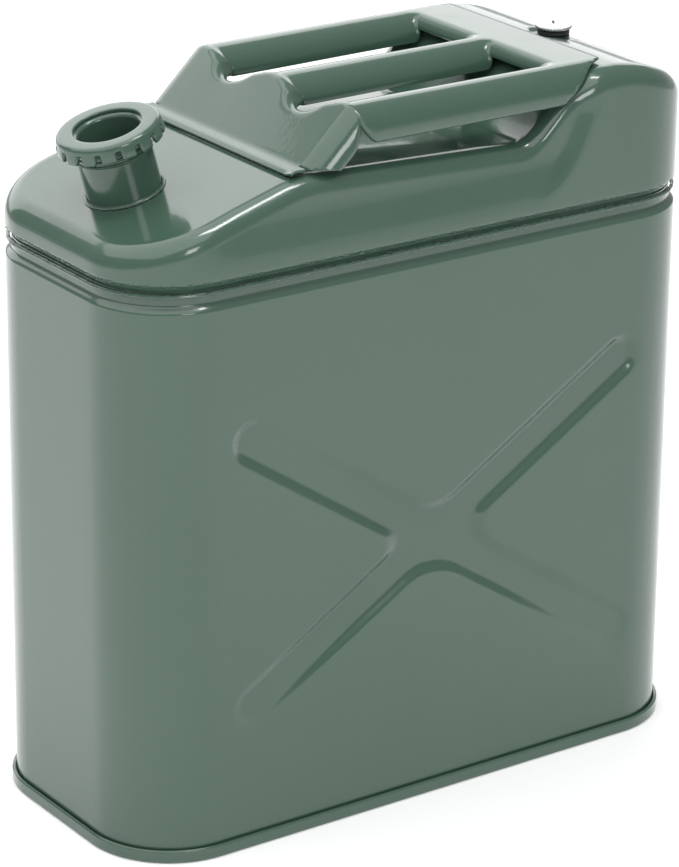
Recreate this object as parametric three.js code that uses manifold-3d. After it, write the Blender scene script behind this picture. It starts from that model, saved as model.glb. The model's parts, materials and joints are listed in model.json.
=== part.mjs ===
// Steel fuel can with a pressed top shell, a three-bar carrying handle, a tilted filler neck closed by a
// notched ring cap, and a screwed air vent. Millimetres. X runs from the filler end (-X) to the vent end
// (+X), Y across the can, Z up. The origin is the centre of the footprint on the floor.
import * as THREE from 'three';
import { mergeVertices } from 'three/addons/utils/BufferGeometryUtils.js';
import { ParametricGeometry } from 'three/addons/geometries/ParametricGeometry.js';
import Module from 'manifold-3d';

const wasm = await Module();
wasm.setup();
const { clamp, degToRad, smoothstep } = THREE.MathUtils;

// ---------------------------------------------------------------- driving dimensions
const LENGTH = 340;
const WIDTH = 152;
const CORNER_RADIUS = 44;
const SHEET = 1;
const CLEARANCE = 0.3;

const RIM_HEIGHT = 7;
const RIM_PROUD = 2.4;
const RIM_ROUND = 0.8;
const PAN_HEIGHT = 8;
const WRAPPER_WELD_WIDTH = 5;
const WRAPPER_WELD_PROUD = 0.7;

// the belt: the wall steps in, the top shell's skirt laps over it, and a weld bead runs round the joint
const SHOULDER_HEIGHT = 283;
const BELT_INSET = 3;
const BELT_BOTTOM = 286;
const LAP_TOP = 296.5;
const BELT_WELD_HEIGHT = 291.05;
const BELT_WELD_RADIUS = 1.3;
const SKIRT_BOTTOM = 291.6;
const SKIRT_BEND = 293.4;
const SKIRT_TOP = 297.5;

const SLOPE = degToRad(15.5);
const NECK_FOOT = new THREE.Vector3(-129.3, 0, 321.2);
const DECK_CREST_X = -70;
const DECK_CREST_HEIGHT = 336.5;
const DECK_FALL = 0.04;
const BLOCK_FOOT_X = 59.5;
const BLOCK_FOOT_HEIGHT = 331.5;
const BLOCK_TOP = 362.3;
const REAR_CREASE_X = 123;
const REAR_SLOPE = degToRad(21.5);
const DECK_EDGE_RADIUS = 6;
const BLOCK_EDGE_RADIUS = 10;

// the side below the deck leans in, from nothing at the front corners to nothing at the block's edge
const SCOOP_DEPTH = 3;
const SCOOP_TOP = 326;
const SCOOP_FRONT = [-165, -110];
const SCOOP_REAR_FOOT = 60;
const SCOOP_REAR_SPREAD = 38;
const SCOOP_REAR_RISE = 46;
const SCOOP_REAR_FADE = 15;

const CROSS_ARMS = [
  { from: [-110.5, 214], to: [117.5, 62] },
  { from: [-109, 70], to: [116.5, 212] },
];
const CROSS_CENTRE = [4, 139];
const CROSS_WIDTH = 19;
const CROSS_DEPTH = 2.6;

const HANDLE_SHEET = 1.2;
const HANDLE_TOP = BLOCK_TOP + HANDLE_SHEET + CLEARANCE;
const HANDLE_HALF_WIDTH = 72.5;
const BAR_RADIUS = 11.5;
const BAR_DEPTH = 15.2;
const BAR_OFFSET = HANDLE_HALF_WIDTH - BAR_RADIUS;
const BAR_FLARE_END_X = 70;
const BAR_FLARE_POWER = 2.5;
const BAR_FLARE_SPREAD = 2;
const SLOT_HALF_WIDTH = BAR_OFFSET / 2 - BAR_RADIUS;
const PLATE_ANGLE = degToRad(46.2);
const PLATE_TOP_X = -43.7;
const PLATE_ROLL = 9.3;
const PLATE_EDGE_BEND = 5;
const SCALLOP_DEPTH = 13.7;
const SCALLOP_HALF_WIDTH = 21.5;
const NOTCH_APEX = [-42.3, 361.9];
const NOTCH_BOTTOM = 346.5;
const NOTCH_FRONT_X = -47.3;
const NOTCH_REAR_X = -33.3;
const FOOT_FRONT = -79;
const FOOT_REAR = -67;
const FOOT_HALF_WIDTH = 65;
const REAR_LIP_X = 79;
const LIP_RADIUS = 5;
const REAR_PLATE_END = 111;

const NECK_RADIUS = 18.3;
const NECK_BORE_RADIUS = 16.8;
const NECK_HEIGHT = 30;
const NECK_BURIED = 5;
const THREAD_TURNS = 3;
const THREAD_PITCH = 2.4;
const THREAD_RADIUS = 19;
const COLLAR_RADIUS = 20.2;
const COLLAR_HEIGHT = 2.4;
const GASKET_THICKNESS = 1.5;
const CUP_RADIUS = 15.8;
const CUP_DEPTH = 38;
const CUP_CORNER = 2;
const CAP_HOLE_RADIUS = 16.75;
const CAP_RADIUS = 25.4;
const CAP_HEIGHT = 8.6;
const CAP_PLATE = 1.6;
const CAP_EDGE_ROUND = 2.2;
const CAP_SLEEVE = 1.2;
const CAP_TEETH = 16;
const TOOTH_WIDTH = 6.6;
const TOOTH_THICKNESS = 2.6;
const TOOTH_LEAN = 0.8;

const VENT_FOOT = new THREE.Vector3(126.5, 0, 358.4);
const VENT_SEAT_RADIUS = 12.5;
const VENT_SEAT_SLOPE = degToRad(9);
const VENT_BOSS_RADIUS = 8.2;
const VENT_BOSS_TOP = 1.7;
const VENT_BOSS_BURIED = 7;
const VENT_WASHER_THICKNESS = 2.6;
const VENT_SHANK_RADIUS = 3;
const VENT_SHANK_END = -6;
const VENT_HEAD_RADIUS = 9.3;
const VENT_HEAD_THICKNESS = 1.7;
const VENT_SLOT = { length: 7, width: 1.2, depth: 0.8, yaw: degToRad(55) };

const CORNER_STEPS = 6;
const BEND_STEPS = 5;
const ROUND_STEPS = 32;

// ---------------------------------------------------------------- finishes
const GREEN_PAINT = { color: 0x4a6354, roughness: 0.22, metalness: 0.1 };
const DARK_GREEN_PAINT = { color: 0x35493f, roughness: 0.3, metalness: 0.1 };
const ZINC = { color: 0xc8cccf, roughness: 0.25, metalness: 1 };
const RUBBER = { color: 0x17191a, roughness: 0.7, metalness: 0 };

// ---------------------------------------------------------------- solid helpers
function toSolid(geometry) {
  const bare = geometry.clone();
  bare.deleteAttribute('normal');
  bare.deleteAttribute('uv');
  const merged = mergeVertices(bare, 1e-4);
  const index = Array.from(merged.index.array);
  const kept = [];
  for (let i = 0; i < index.length; i += 3) {
    const [a, b, c] = index.slice(i, i + 3);
    if (a !== b && b !== c && c !== a) kept.push(a, b, c);
  }
  const mesh = new wasm.Mesh({
    numProp: 3,
    vertProperties: new Float32Array(merged.attributes.position.array),
    triVerts: new Uint32Array(kept),
  });
  const solid = new wasm.Manifold(mesh);
  if (solid.volume() >= 0) return solid;
  const flipped = [];
  for (let i = 0; i < kept.length; i += 3) flipped.push(kept[i], kept[i + 2], kept[i + 1]);
  mesh.triVerts = new Uint32Array(flipped);
  return new wasm.Manifold(mesh);
}

function toNode(name, solid, finish) {
  const { vertProperties, triVerts } = solid.getMesh();
  const geometry = new THREE.BufferGeometry();
  geometry.setAttribute('position', new THREE.BufferAttribute(vertProperties, 3));
  geometry.setIndex(new THREE.BufferAttribute(triVerts, 1));
  const mesh = new THREE.Mesh(geometry, new THREE.MeshStandardMaterial(finish));
  mesh.name = name;
  return mesh;
}

const union = (...solids) => solids.reduce((whole, solid) => whole.add(solid));

function placed(geometry, position, rotation = [0, 0, 0]) {
  const matrix = new THREE.Matrix4().makeRotationFromEuler(new THREE.Euler(...rotation));
  matrix.setPosition(...position);
  return toSolid(geometry.clone().applyMatrix4(matrix));
}

// a closed profile of [radius, height] points turned about Z
function lathe(profile, segments = ROUND_STEPS) {
  const points = profile.map(([radius, height]) => new THREE.Vector2(radius, height));
  return new THREE.LatheGeometry([...points, points[0]], segments).rotateX(Math.PI / 2);
}

function extrude(outline, depth) {
  return new THREE.ExtrudeGeometry(outline, { depth, bevelEnabled: false, curveSegments: BEND_STEPS });
}

// an outline in X and Z, drawn out along Y between two values of y
function acrossY(outline, fromY, toY) {
  return extrude(outline, toY - fromY).rotateX(Math.PI / 2).translate(0, toY, 0);
}

// an outline in Y and Z, drawn out along X between two values of x
function alongX(outline, fromX, toX) {
  const yzToX = new THREE.Matrix4().makeBasis(
    new THREE.Vector3(0, 1, 0), new THREE.Vector3(0, 0, 1), new THREE.Vector3(1, 0, 0));
  return extrude(outline, toX - fromX).applyMatrix4(yzToX).translate(fromX, 0, 0);
}

function polygon(points) {
  return new THREE.Shape(points.map(([x, y]) => new THREE.Vector2(x, y)));
}

// ---------------------------------------------------------------- the can's plan
// Stations run round the rounded rectangle. Each is a point on the straight side or end, or an angle on a
// corner, so that a ring at any inset has matching points.
const LOWER_SIDE_STATIONS = [0];
const UPPER_SIDE_STATIONS = [-104, -88, -74, -62, -30, 10, 44, 56, 64, 72, 80, 88, 96, 104, 113, 122];

function stationsRound(sideStations) {
  const corner = (signX, signY, fromAngle) => {
    const stations = [];
    for (let i = 0; i <= CORNER_STEPS; i += 1) {
      stations.push({ signX, signY, angle: fromAngle + (i / CORNER_STEPS) * Math.PI / 2 });
    }
    return stations;
  };
  return [
    ...sideStations.map((x) => ({ side: -1, x })),
    ...corner(1, -1, -Math.PI / 2),
    { end: 1, y: 0 },
    ...corner(1, 1, 0),
    ...sideStations.slice().reverse().map((x) => ({ side: 1, x })),
    ...corner(-1, 1, Math.PI / 2),
    { end: -1, y: 0 },
    ...corner(-1, -1, Math.PI),
  ];
}

const LOWER_STATIONS = stationsRound(LOWER_SIDE_STATIONS);
const UPPER_STATIONS = stationsRound(UPPER_SIDE_STATIONS);

function planPoint(station, inset) {
  if (station.side) return [station.x, station.side * (WIDTH / 2 - inset)];
  if (station.end) return [station.end * (LENGTH / 2 - inset), station.y];
  const centreX = station.signX * (LENGTH / 2 - CORNER_RADIUS);
  const centreY = station.signY * (WIDTH / 2 - CORNER_RADIUS);
  const radius = CORNER_RADIUS - inset;
  return [centreX + radius * Math.cos(station.angle), centreY + radius * Math.sin(station.angle)];
}

// the ring point drawn in towards the middle line: 0 on the ring, 1 on the line
const SPINE_END = 112;
function drawnIn([x, y], share) {
  const over = Math.max(Math.abs(x) - SPINE_END, 0);
  return [Math.sign(x) * (Math.abs(x) - over * share), y * (1 - share)];
}

// rows is a list of functions from a station to a point; the surface joins each row to the next
function ringSurface(rows, stations) {
  const place = (u, v, target) => {
    const station = stations[Math.round(u * stations.length) % stations.length];
    target.set(...rows[Math.round(v * (rows.length - 1))](station));
  };
  return toSolid(new ParametricGeometry(place, stations.length, rows.length - 1));
}

// a closed section of [inset, height] points carried right round the can
function ringSection(section) {
  const rows = [...section, section[0]].map(([inset, height]) => (station) => (
    [...planPoint(station, inset), height]));
  return ringSurface(rows, LOWER_STATIONS);
}

// a solid slab with the can's plan
function planSlab(inset, bottom, top) {
  const row = (height, share) => (station) => [...drawnIn(planPoint(station, inset), share), height];
  return ringSurface([row(bottom, 1), row(bottom, 0), row(top, 0), row(top, 1)], LOWER_STATIONS);
}

// ---------------------------------------------------------------- lower body
// pressed pan whose rim is rolled up round the foot of the wall
function basePan() {
  const inner = SHEET + CLEARANCE;
  const rim = ringSection([
    [inner + SHEET, RIM_ROUND], [inner + SHEET, PAN_HEIGHT], [inner, PAN_HEIGHT], [inner, SHEET],
    [-CLEARANCE, SHEET], [-CLEARANCE, RIM_HEIGHT - RIM_ROUND / 2], [-RIM_PROUD + RIM_ROUND, RIM_HEIGHT],
    [-RIM_PROUD, RIM_HEIGHT - RIM_ROUND], [-RIM_PROUD, RIM_ROUND], [-RIM_PROUD + RIM_ROUND, 0],
    [inner + SHEET - RIM_ROUND, 0],
  ]);
  const panel = planSlab(inner + SHEET / 2, PAN_HEIGHT - SHEET, PAN_HEIGHT);
  return rim.add(panel);
}

function crossArm(arm, halfWidth) {
  const [x0, z0] = arm.from;
  const [x1, z1] = arm.to;
  const angle = Math.atan2(z1 - z0, x1 - x0);
  const outline = new THREE.Shape();
  outline.absarc(x1, z1, halfWidth, angle - Math.PI / 2, angle + Math.PI / 2);
  outline.absarc(x0, z0, halfWidth, angle + Math.PI / 2, angle + 3 * Math.PI / 2);
  return outline;
}

// the two arms and the wider crossing between them, from one depth below the side's face to another
function cross(halfWidth, depthFrom, depthTo, side) {
  const ends = [side * (WIDTH / 2 - depthFrom), side * (WIDTH / 2 - depthTo)].sort((a, b) => a - b);
  const crossing = new THREE.Shape();
  crossing.absellipse(...CROSS_CENTRE, 2.4 * halfWidth, 1.5 * halfWidth, 0, 2 * Math.PI);
  const outlines = [...CROSS_ARMS.map((arm) => crossArm(arm, halfWidth)), crossing];
  return union(...outlines.map((outline) => toSolid(acrossY(outline, ...ends))));
}

function bodyShell() {
  const belt = BELT_INSET;
  const lap = belt + SHEET + CLEARANCE;
  const bottom = SHEET + CLEARANCE;
  const beltTop = SKIRT_BOTTOM - 2 * SHEET;
  let shell = ringSection([
    [0, bottom], [SHEET, bottom], [SHEET, SHOULDER_HEIGHT], [belt + SHEET, BELT_BOTTOM + SHEET],
    [belt + SHEET, beltTop], [lap + SHEET, beltTop + 1.4 * SHEET], [lap + SHEET, LAP_TOP], [lap, LAP_TOP],
    [lap, SKIRT_BOTTOM - CLEARANCE], [belt, beltTop], [belt, BELT_BOTTOM],
    [0.3 * belt, (SHOULDER_HEIGHT + BELT_BOTTOM) / 2], [0, SHOULDER_HEIGHT],
  ]);
  for (const side of [-1, 1]) {
    shell = shell.add(cross(CROSS_WIDTH / 2 + SHEET, SHEET / 2, CROSS_DEPTH + SHEET, side));
    shell = shell.subtract(cross(CROSS_WIDTH / 2, -SHEET, CROSS_DEPTH, side));
  }
  return shell;
}

// upright bead that closes the wall's sheet on itself at the vent end
function wrapperWeld() {
  const half = WRAPPER_WELD_WIDTH / 2;
  const face = LENGTH / 2 + CLEARANCE;
  const crown = face + WRAPPER_WELD_PROUD;
  const outline = polygon([[face, -half], [crown, -half / 2], [crown, half / 2], [face, half]]);
  const bottom = RIM_HEIGHT + 2 * CLEARANCE;
  return toSolid(extrude(outline, SHOULDER_HEIGHT - bottom).translate(0, 0, bottom));
}

function beltWeld() {
  const section = [];
  for (let i = 0; i < 6; i += 1) {
    const angle = i * Math.PI / 3;
    const inset = BELT_INSET - CLEARANCE - BELT_WELD_RADIUS + BELT_WELD_RADIUS * Math.cos(angle);
    section.push([inset, BELT_WELD_HEIGHT - BELT_WELD_RADIUS * Math.sin(angle)]);
  }
  return ringSection(section);
}

// ---------------------------------------------------------------- top shell
const softMin = (a, b, reach) => {
  const near = Math.max(reach - Math.abs(a - b), 0) / reach;
  return Math.min(a, b) - near * near * reach / 4;
};
const softMax = (a, b, reach) => -softMin(-a, -b, reach);

// height of the pressed top along the can: front deck, level deck, block front, block top, rear slope
function topHeight(x) {
  const front = NECK_FOOT.z + Math.tan(SLOPE) * (x - NECK_FOOT.x);
  const level = DECK_CREST_HEIGHT - DECK_FALL * (x - DECK_CREST_X);
  const blockFront = BLOCK_FOOT_HEIGHT + (x - BLOCK_FOOT_X);
  const rear = BLOCK_TOP - Math.tan(REAR_SLOPE) * (x - REAR_CREASE_X);
  const deck = softMin(front, level, 3);
  const block = softMin(softMax(deck, blockFront, 8), BLOCK_TOP, 16);
  return softMin(block, rear, 5);
}

function edgeRadius(x) {
  const growth = smoothstep(x, BLOCK_FOOT_X - 5, BLOCK_FOOT_X + 35);
  return DECK_EDGE_RADIUS + (BLOCK_EDGE_RADIUS - DECK_EDGE_RADIUS) * growth;
}

function scoop(x, height) {
  const rise = smoothstep(height, SKIRT_TOP, SCOOP_TOP);
  const climb = clamp((height - SKIRT_TOP) / SCOOP_REAR_RISE, 0, 1);
  const rearEdge = SCOOP_REAR_FOOT + SCOOP_REAR_SPREAD * Math.sqrt(climb);
  const along = smoothstep(x, ...SCOOP_FRONT) * (1 - smoothstep(x, rearEdge - SCOOP_REAR_FADE, rearEdge));
  return SCOOP_DEPTH * rise * along;
}

// the closed body inside the top shell's skin, moved in by `depth` from its outer face
function topBody(depth, bottom) {
  const skirt = [
    [BELT_INSET, bottom], [BELT_INSET, SKIRT_BEND + depth], [0.3 * BELT_INSET, SKIRT_TOP - 1.3 + depth],
  ];
  const wallShares = [0, 0.5, 1];
  const filletShares = [0.25, 0.5, 0.75, 1];
  const deckShares = [0.4, 1];
  const top = (x) => topHeight(x) - depth * Math.hypot(1, (topHeight(x + 1) - topHeight(x - 1)) / 2);
  const radius = (x) => edgeRadius(x) - depth;
  const wallRow = (share) => (station) => {
    const [x] = planPoint(station, depth);
    const from = SKIRT_TOP + depth;
    const height = from + (top(x) - radius(x) - from) * share;
    return [...planPoint(station, depth + scoop(x, height)), height];
  };
  const filletPoint = (station, share) => {
    const [x] = planPoint(station, depth);
    const angle = share * Math.PI / 2;
    const foot = top(x) - radius(x);
    const point = planPoint(station, depth + scoop(x, foot) + radius(x) * (1 - Math.cos(angle)));
    return [...point, top(point[0]) - radius(x) * (1 - Math.sin(angle))];
  };
  const deckRow = (share) => (station) => {
    const inner = drawnIn(filletPoint(station, 1), share);
    return [...inner, top(inner[0])];
  };
  return ringSurface([
    (station) => [...drawnIn(planPoint(station, BELT_INSET + depth), 1), bottom],
    ...skirt.map(([inset, height]) => (station) => [...planPoint(station, inset + depth), height]),
    ...wallShares.map(wallRow),
    ...filletShares.map((share) => (station) => filletPoint(station, share)),
    ...deckShares.map(deckRow),
  ], UPPER_STATIONS);
}

const NECK_TILT = [0, -SLOPE, 0];
const VENT_SEAT_TILT = [0, VENT_SEAT_SLOPE, 0];

function cylinderAt(radius, from, to, foot, tilt = [0, 0, 0]) {
  const profile = [[0, from], [radius, from], [radius, to], [0, to]];
  return placed(lathe(profile), foot.toArray(), tilt);
}

function topShell() {
  const above = 20;
  const outerSeat = cylinderAt(VENT_SEAT_RADIUS, 0, above, VENT_FOOT, VENT_SEAT_TILT);
  const innerSeat = cylinderAt(VENT_SEAT_RADIUS + SHEET, -SHEET, above, VENT_FOOT, VENT_SEAT_TILT);
  const outer = topBody(0, SKIRT_BOTTOM).subtract(outerSeat);
  const inner = topBody(SHEET, SKIRT_BOTTOM - 4 * SHEET).subtract(innerSeat);
  const neckHole = cylinderAt(NECK_RADIUS + CLEARANCE, -above, above, NECK_FOOT, NECK_TILT);
  const ventHole = cylinderAt(VENT_BOSS_RADIUS + CLEARANCE, -above, above, VENT_FOOT);
  return outer.subtract(inner).subtract(neckHole).subtract(ventHole);
}

// ---------------------------------------------------------------- handle
const BAR_CENTRE_Z = HANDLE_TOP - BAR_RADIUS;

// One bar is an inverted channel. Its crest is a half-round at the rear and grows fuller, and wider into
// the slots, towards the front plate.
const BAR_STATIONS = [PLATE_TOP_X - 30, PLATE_TOP_X, -20, 10, 40, BAR_FLARE_END_X, REAR_LIP_X + BAR_RADIUS];
const BAR_ARC_STEPS = 10;

function barLoft(centreY, sheet, bottom, overrun) {
  const section = (x) => {
    const flare = 1 - smoothstep(x, PLATE_TOP_X, BAR_FLARE_END_X);
    const exponent = 2 / (2 + BAR_FLARE_POWER * flare);
    const points = [[centreY + BAR_RADIUS - sheet, bottom]];
    for (let i = 0; i <= BAR_ARC_STEPS; i += 1) {
      const angle = Math.PI * i / BAR_ARC_STEPS;
      const side = Math.sign(Math.cos(angle));
      const spread = side * centreY > 0 ? 0 : BAR_FLARE_SPREAD * flare;
      const across = (BAR_RADIUS - sheet + spread) * Math.abs(Math.cos(angle)) ** exponent;
      const up = (BAR_RADIUS - sheet) * Math.sin(angle) ** exponent;
      points.push([centreY + side * across, BAR_CENTRE_Z + up]);
    }
    points.push([centreY - BAR_RADIUS + sheet, bottom]);
    return points.map(([y, z]) => [x, y, z]);
  };
  const ends = [BAR_STATIONS[0] - overrun, BAR_STATIONS.at(-1) + overrun];
  const xs = [ends[0], ...BAR_STATIONS.slice(1, -1), ends[1]];
  const rows = xs.map(section);
  const cap = (x) => rows[0].map(() => [x, centreY, BAR_CENTRE_Z]);
  const surface = [cap(ends[0]), ...rows, cap(ends[1])];
  const count = rows[0].length;
  const place = (u, v, target) => {
    target.set(...surface[Math.round(v * (surface.length - 1))][Math.round(u * count) % count]);
  };
  return toSolid(new ParametricGeometry(place, count, surface.length - 1));
}

// section of a sheet whose two long edges are rolled down, with its top face at height `top`
function rolledOutline(top, radius, depth) {
  const half = HANDLE_HALF_WIDTH;
  const inner = radius - HANDLE_SHEET;
  const outline = new THREE.Shape();
  outline.moveTo(half, top - depth);
  outline.absarc(half - radius, top - radius, radius, 0, Math.PI / 2, false);
  outline.absarc(-half + radius, top - radius, radius, Math.PI / 2, Math.PI, false);
  outline.lineTo(-half, top - depth);
  outline.lineTo(-half + HANDLE_SHEET, top - depth);
  outline.absarc(-half + radius, top - radius, inner, Math.PI, Math.PI / 2, true);
  outline.absarc(half - radius, top - radius, inner, Math.PI / 2, 0, true);
  outline.lineTo(half - HANDLE_SHEET, top - depth);
  outline.closePath();
  return outline;
}

// the sloping front plate's own frame: X up the slope, Y across the can, Z out of its face, with the
// origin where its face reaches the handle's top
const PLATE_FRAME = new THREE.Matrix4().makeRotationY(-PLATE_ANGLE).setPosition(PLATE_TOP_X, 0, HANDLE_TOP);
const PLATE_LENGTH = (HANDLE_TOP - DECK_CREST_HEIGHT) / Math.sin(PLATE_ANGLE);

function frontPlate() {
  const section = rolledOutline(0, PLATE_EDGE_BEND, PLATE_ROLL);
  const sheet = toSolid(alongX(section, -PLATE_LENGTH - 4, BAR_RADIUS).applyMatrix4(PLATE_FRAME));
  const scallops = [-1, 1].map((side) => {
    const outline = new THREE.Shape();
    outline.absellipse(0, side * BAR_OFFSET / 2, SCALLOP_DEPTH, SCALLOP_HALF_WIDTH, 0, 2 * Math.PI);
    const cutter = extrude(outline, 4 * PLATE_ROLL).translate(0, 0, -2 * PLATE_ROLL);
    return toSolid(cutter.applyMatrix4(PLATE_FRAME));
  });
  const low = DECK_CREST_HEIGHT - HANDLE_SHEET / 2;
  const webTop = BAR_CENTRE_Z + BAR_RADIUS / 2;
  const crests = [-BAR_OFFSET, 0, BAR_OFFSET].map((y) => barLoft(y, 0, low, PLATE_LENGTH));
  const web = new THREE.BoxGeometry(4 * PLATE_LENGTH, 3 * HANDLE_HALF_WIDTH, webTop - low);
  crests.push(placed(web, [PLATE_TOP_X, 0, (webTop + low) / 2]));
  return sheet.subtract(union(...scallops)).intersect(union(...crests));
}

// strip welded to the deck in front of the plate
function foot() {
  const lift = 1.5 * CLEARANCE;
  const points = [];
  for (let x = FOOT_FRONT; x <= FOOT_REAR; x += 3) points.push([x, topHeight(x) + lift]);
  for (let x = FOOT_REAR; x >= FOOT_FRONT; x -= 3) points.push([x, topHeight(x) + lift + HANDLE_SHEET]);
  return toSolid(acrossY(polygon(points), -FOOT_HALF_WIDTH, FOOT_HALF_WIDTH));
}

// everything behind the front plate's face and its rolled edges
function behindPlate() {
  const half = HANDLE_HALF_WIDTH;
  const reach = 2 * (REAR_LIP_X - PLATE_TOP_X);
  const outline = new THREE.Shape();
  outline.moveTo(half, -reach);
  outline.absarc(half - PLATE_EDGE_BEND, -PLATE_EDGE_BEND, PLATE_EDGE_BEND, 0, Math.PI / 2, false);
  outline.absarc(-half + PLATE_EDGE_BEND, -PLATE_EDGE_BEND, PLATE_EDGE_BEND, Math.PI / 2, Math.PI, false);
  outline.lineTo(-half, -reach);
  outline.closePath();
  return toSolid(alongX(outline, -reach, reach).applyMatrix4(PLATE_FRAME));
}

function bars() {
  const bottom = HANDLE_TOP - BAR_DEPTH;
  const centres = [-BAR_OFFSET, 0, BAR_OFFSET];
  const outer = union(...centres.map((y) => barLoft(y, 0, bottom, 0)));
  const inner = union(...centres.map((y) => barLoft(y, HANDLE_SHEET, bottom - BAR_DEPTH, BAR_DEPTH)));
  return outer.subtract(inner).intersect(behindPlate());
}

// V cut from each outer side, between the plate's rolled edge and the outer bar
function notches() {
  const outline = polygon([NOTCH_APEX, [NOTCH_FRONT_X, NOTCH_BOTTOM], [NOTCH_REAR_X, NOTCH_BOTTOM]]);
  const inner = HANDLE_HALF_WIDTH - PLATE_ROLL;
  const outer = HANDLE_HALF_WIDTH + PLATE_ROLL;
  return union(toSolid(acrossY(outline, -outer, -inner)), toSolid(acrossY(outline, inner, outer)));
}

function rearPlate() {
  const section = rolledOutline(HANDLE_TOP, BAR_RADIUS, BAR_DEPTH);
  const plate = toSolid(alongX(section, REAR_LIP_X + LIP_RADIUS - 0.5, REAR_PLATE_END));
  const lip = new THREE.Shape();
  const centre = [REAR_LIP_X + LIP_RADIUS, HANDLE_TOP - LIP_RADIUS];
  lip.absarc(...centre, LIP_RADIUS, Math.PI / 2, Math.PI, false);
  lip.absarc(...centre, LIP_RADIUS - HANDLE_SHEET, Math.PI, Math.PI / 2, true);
  lip.closePath();
  const half = SLOT_HALF_WIDTH + 1.5;
  const lips = [-1, 1].map((side) => (
    toSolid(acrossY(lip, side * BAR_OFFSET / 2 - half, side * BAR_OFFSET / 2 + half))));
  return union(plate, ...lips);
}

function handle() {
  const pressing = union(frontPlate(), bars(), rearPlate(), foot());
  return pressing.subtract(notches()).subtract(topBody(-CLEARANCE, SKIRT_BOTTOM));
}

// ---------------------------------------------------------------- filler
const GASKET_BOTTOM = NECK_HEIGHT + CLEARANCE;
const CUP_SEAT = GASKET_BOTTOM + GASKET_THICKNESS + CLEARANCE;
const CAP_UNDER = CUP_SEAT + SHEET + CLEARANCE;
const CAP_TOP = CAP_UNDER + CAP_PLATE;
const CAP_BOTTOM = CAP_TOP - CAP_HEIGHT;

function atNeck(profile) {
  return placed(lathe(profile), NECK_FOOT.toArray(), NECK_TILT);
}

function fillerNeck() {
  const thread = [];
  for (let turn = 1; turn <= THREAD_TURNS; turn += 1) {
    const height = NECK_HEIGHT - THREAD_PITCH * turn;
    thread.push([NECK_RADIUS, height + 1.6], [THREAD_RADIUS, height + 1], [THREAD_RADIUS, height + 0.6],
      [NECK_RADIUS, height]);
  }
  return atNeck([
    [NECK_BORE_RADIUS, -NECK_BURIED], [NECK_BORE_RADIUS, NECK_HEIGHT], [NECK_RADIUS, NECK_HEIGHT],
    ...thread, [NECK_RADIUS, -NECK_BURIED],
  ]);
}

function neckCollar() {
  const inner = NECK_RADIUS + CLEARANCE;
  const shoulder = (inner + COLLAR_RADIUS) / 2;
  return atNeck([
    [inner, CLEARANCE], [inner, COLLAR_HEIGHT], [shoulder, COLLAR_HEIGHT / 2], [COLLAR_RADIUS, CLEARANCE],
  ]);
}

function closureGasket() {
  const inner = CUP_RADIUS + CLEARANCE;
  const top = GASKET_BOTTOM + GASKET_THICKNESS;
  return atNeck([[inner, GASKET_BOTTOM], [inner, top], [NECK_RADIUS, top], [NECK_RADIUS, GASKET_BOTTOM]]);
}

// cup that hangs in the neck by its flange, which the ring cap clamps down on the gasket
function closureCup() {
  const floor = CUP_SEAT - CUP_DEPTH;
  const inner = CUP_RADIUS - SHEET;
  return atNeck([
    [0, floor], [CUP_RADIUS - CUP_CORNER, floor], [CUP_RADIUS, floor + CUP_CORNER], [CUP_RADIUS, CUP_SEAT],
    [NECK_RADIUS, CUP_SEAT], [NECK_RADIUS, CUP_SEAT + SHEET], [inner + SHEET, CUP_SEAT + SHEET],
    [inner, CUP_SEAT], [inner, floor + SHEET + CUP_CORNER], [inner - CUP_CORNER, floor + SHEET],
    [0, floor + SHEET],
  ]);
}

function ringCap() {
  const sleeve = THREAD_RADIUS + CLEARANCE;
  const round = CAP_EDGE_ROUND;
  let cap = atNeck([
    [CAP_HOLE_RADIUS, CAP_UNDER], [CAP_HOLE_RADIUS, CAP_TOP - 0.5], [CAP_HOLE_RADIUS + 0.5, CAP_TOP],
    [CAP_RADIUS - round, CAP_TOP], [CAP_RADIUS - 0.3 * round, CAP_TOP - 0.3 * round],
    [CAP_RADIUS, CAP_TOP - round], [sleeve + CAP_SLEEVE, CAP_TOP - round - CAP_PLATE],
    [sleeve + CAP_SLEEVE, CAP_BOTTOM + 1], [sleeve, CAP_BOTTOM + 1], [sleeve, CAP_UNDER],
  ]);
  const height = CAP_HEIGHT - round;
  for (let i = 0; i < CAP_TEETH; i += 1) {
    const tooth = new THREE.CylinderGeometry(TOOTH_WIDTH / 2, TOOTH_WIDTH / 2, height, 8);
    tooth.rotateX(Math.PI / 2).scale(TOOTH_THICKNESS / TOOTH_WIDTH, 1, 1);
    tooth.translate(CAP_RADIUS - TOOTH_THICKNESS / 2 + TOOTH_LEAN, 0, CAP_BOTTOM + height / 2);
    tooth.rotateZ((i + 0.5) * 2 * Math.PI / CAP_TEETH);
    cap = cap.add(placed(tooth, NECK_FOOT.toArray(), NECK_TILT));
  }
  return cap;
}

// ---------------------------------------------------------------- air vent
const VENT_WASHER_BOTTOM = VENT_BOSS_TOP + CLEARANCE;
const VENT_WASHER_TOP = VENT_WASHER_BOTTOM + VENT_WASHER_THICKNESS;
const VENT_HEAD_BOTTOM = VENT_WASHER_TOP + CLEARANCE;
const VENT_HEAD_TOP = VENT_HEAD_BOTTOM + VENT_HEAD_THICKNESS;

function atVent(profile) {
  return placed(lathe(profile), VENT_FOOT.toArray());
}

function ventBoss() {
  const bore = VENT_SHANK_RADIUS + CLEARANCE;
  return atVent([
    [bore, -VENT_BOSS_BURIED], [bore, VENT_BOSS_TOP], [VENT_BOSS_RADIUS, VENT_BOSS_TOP],
    [VENT_BOSS_RADIUS, -VENT_BOSS_BURIED],
  ]);
}

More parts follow.
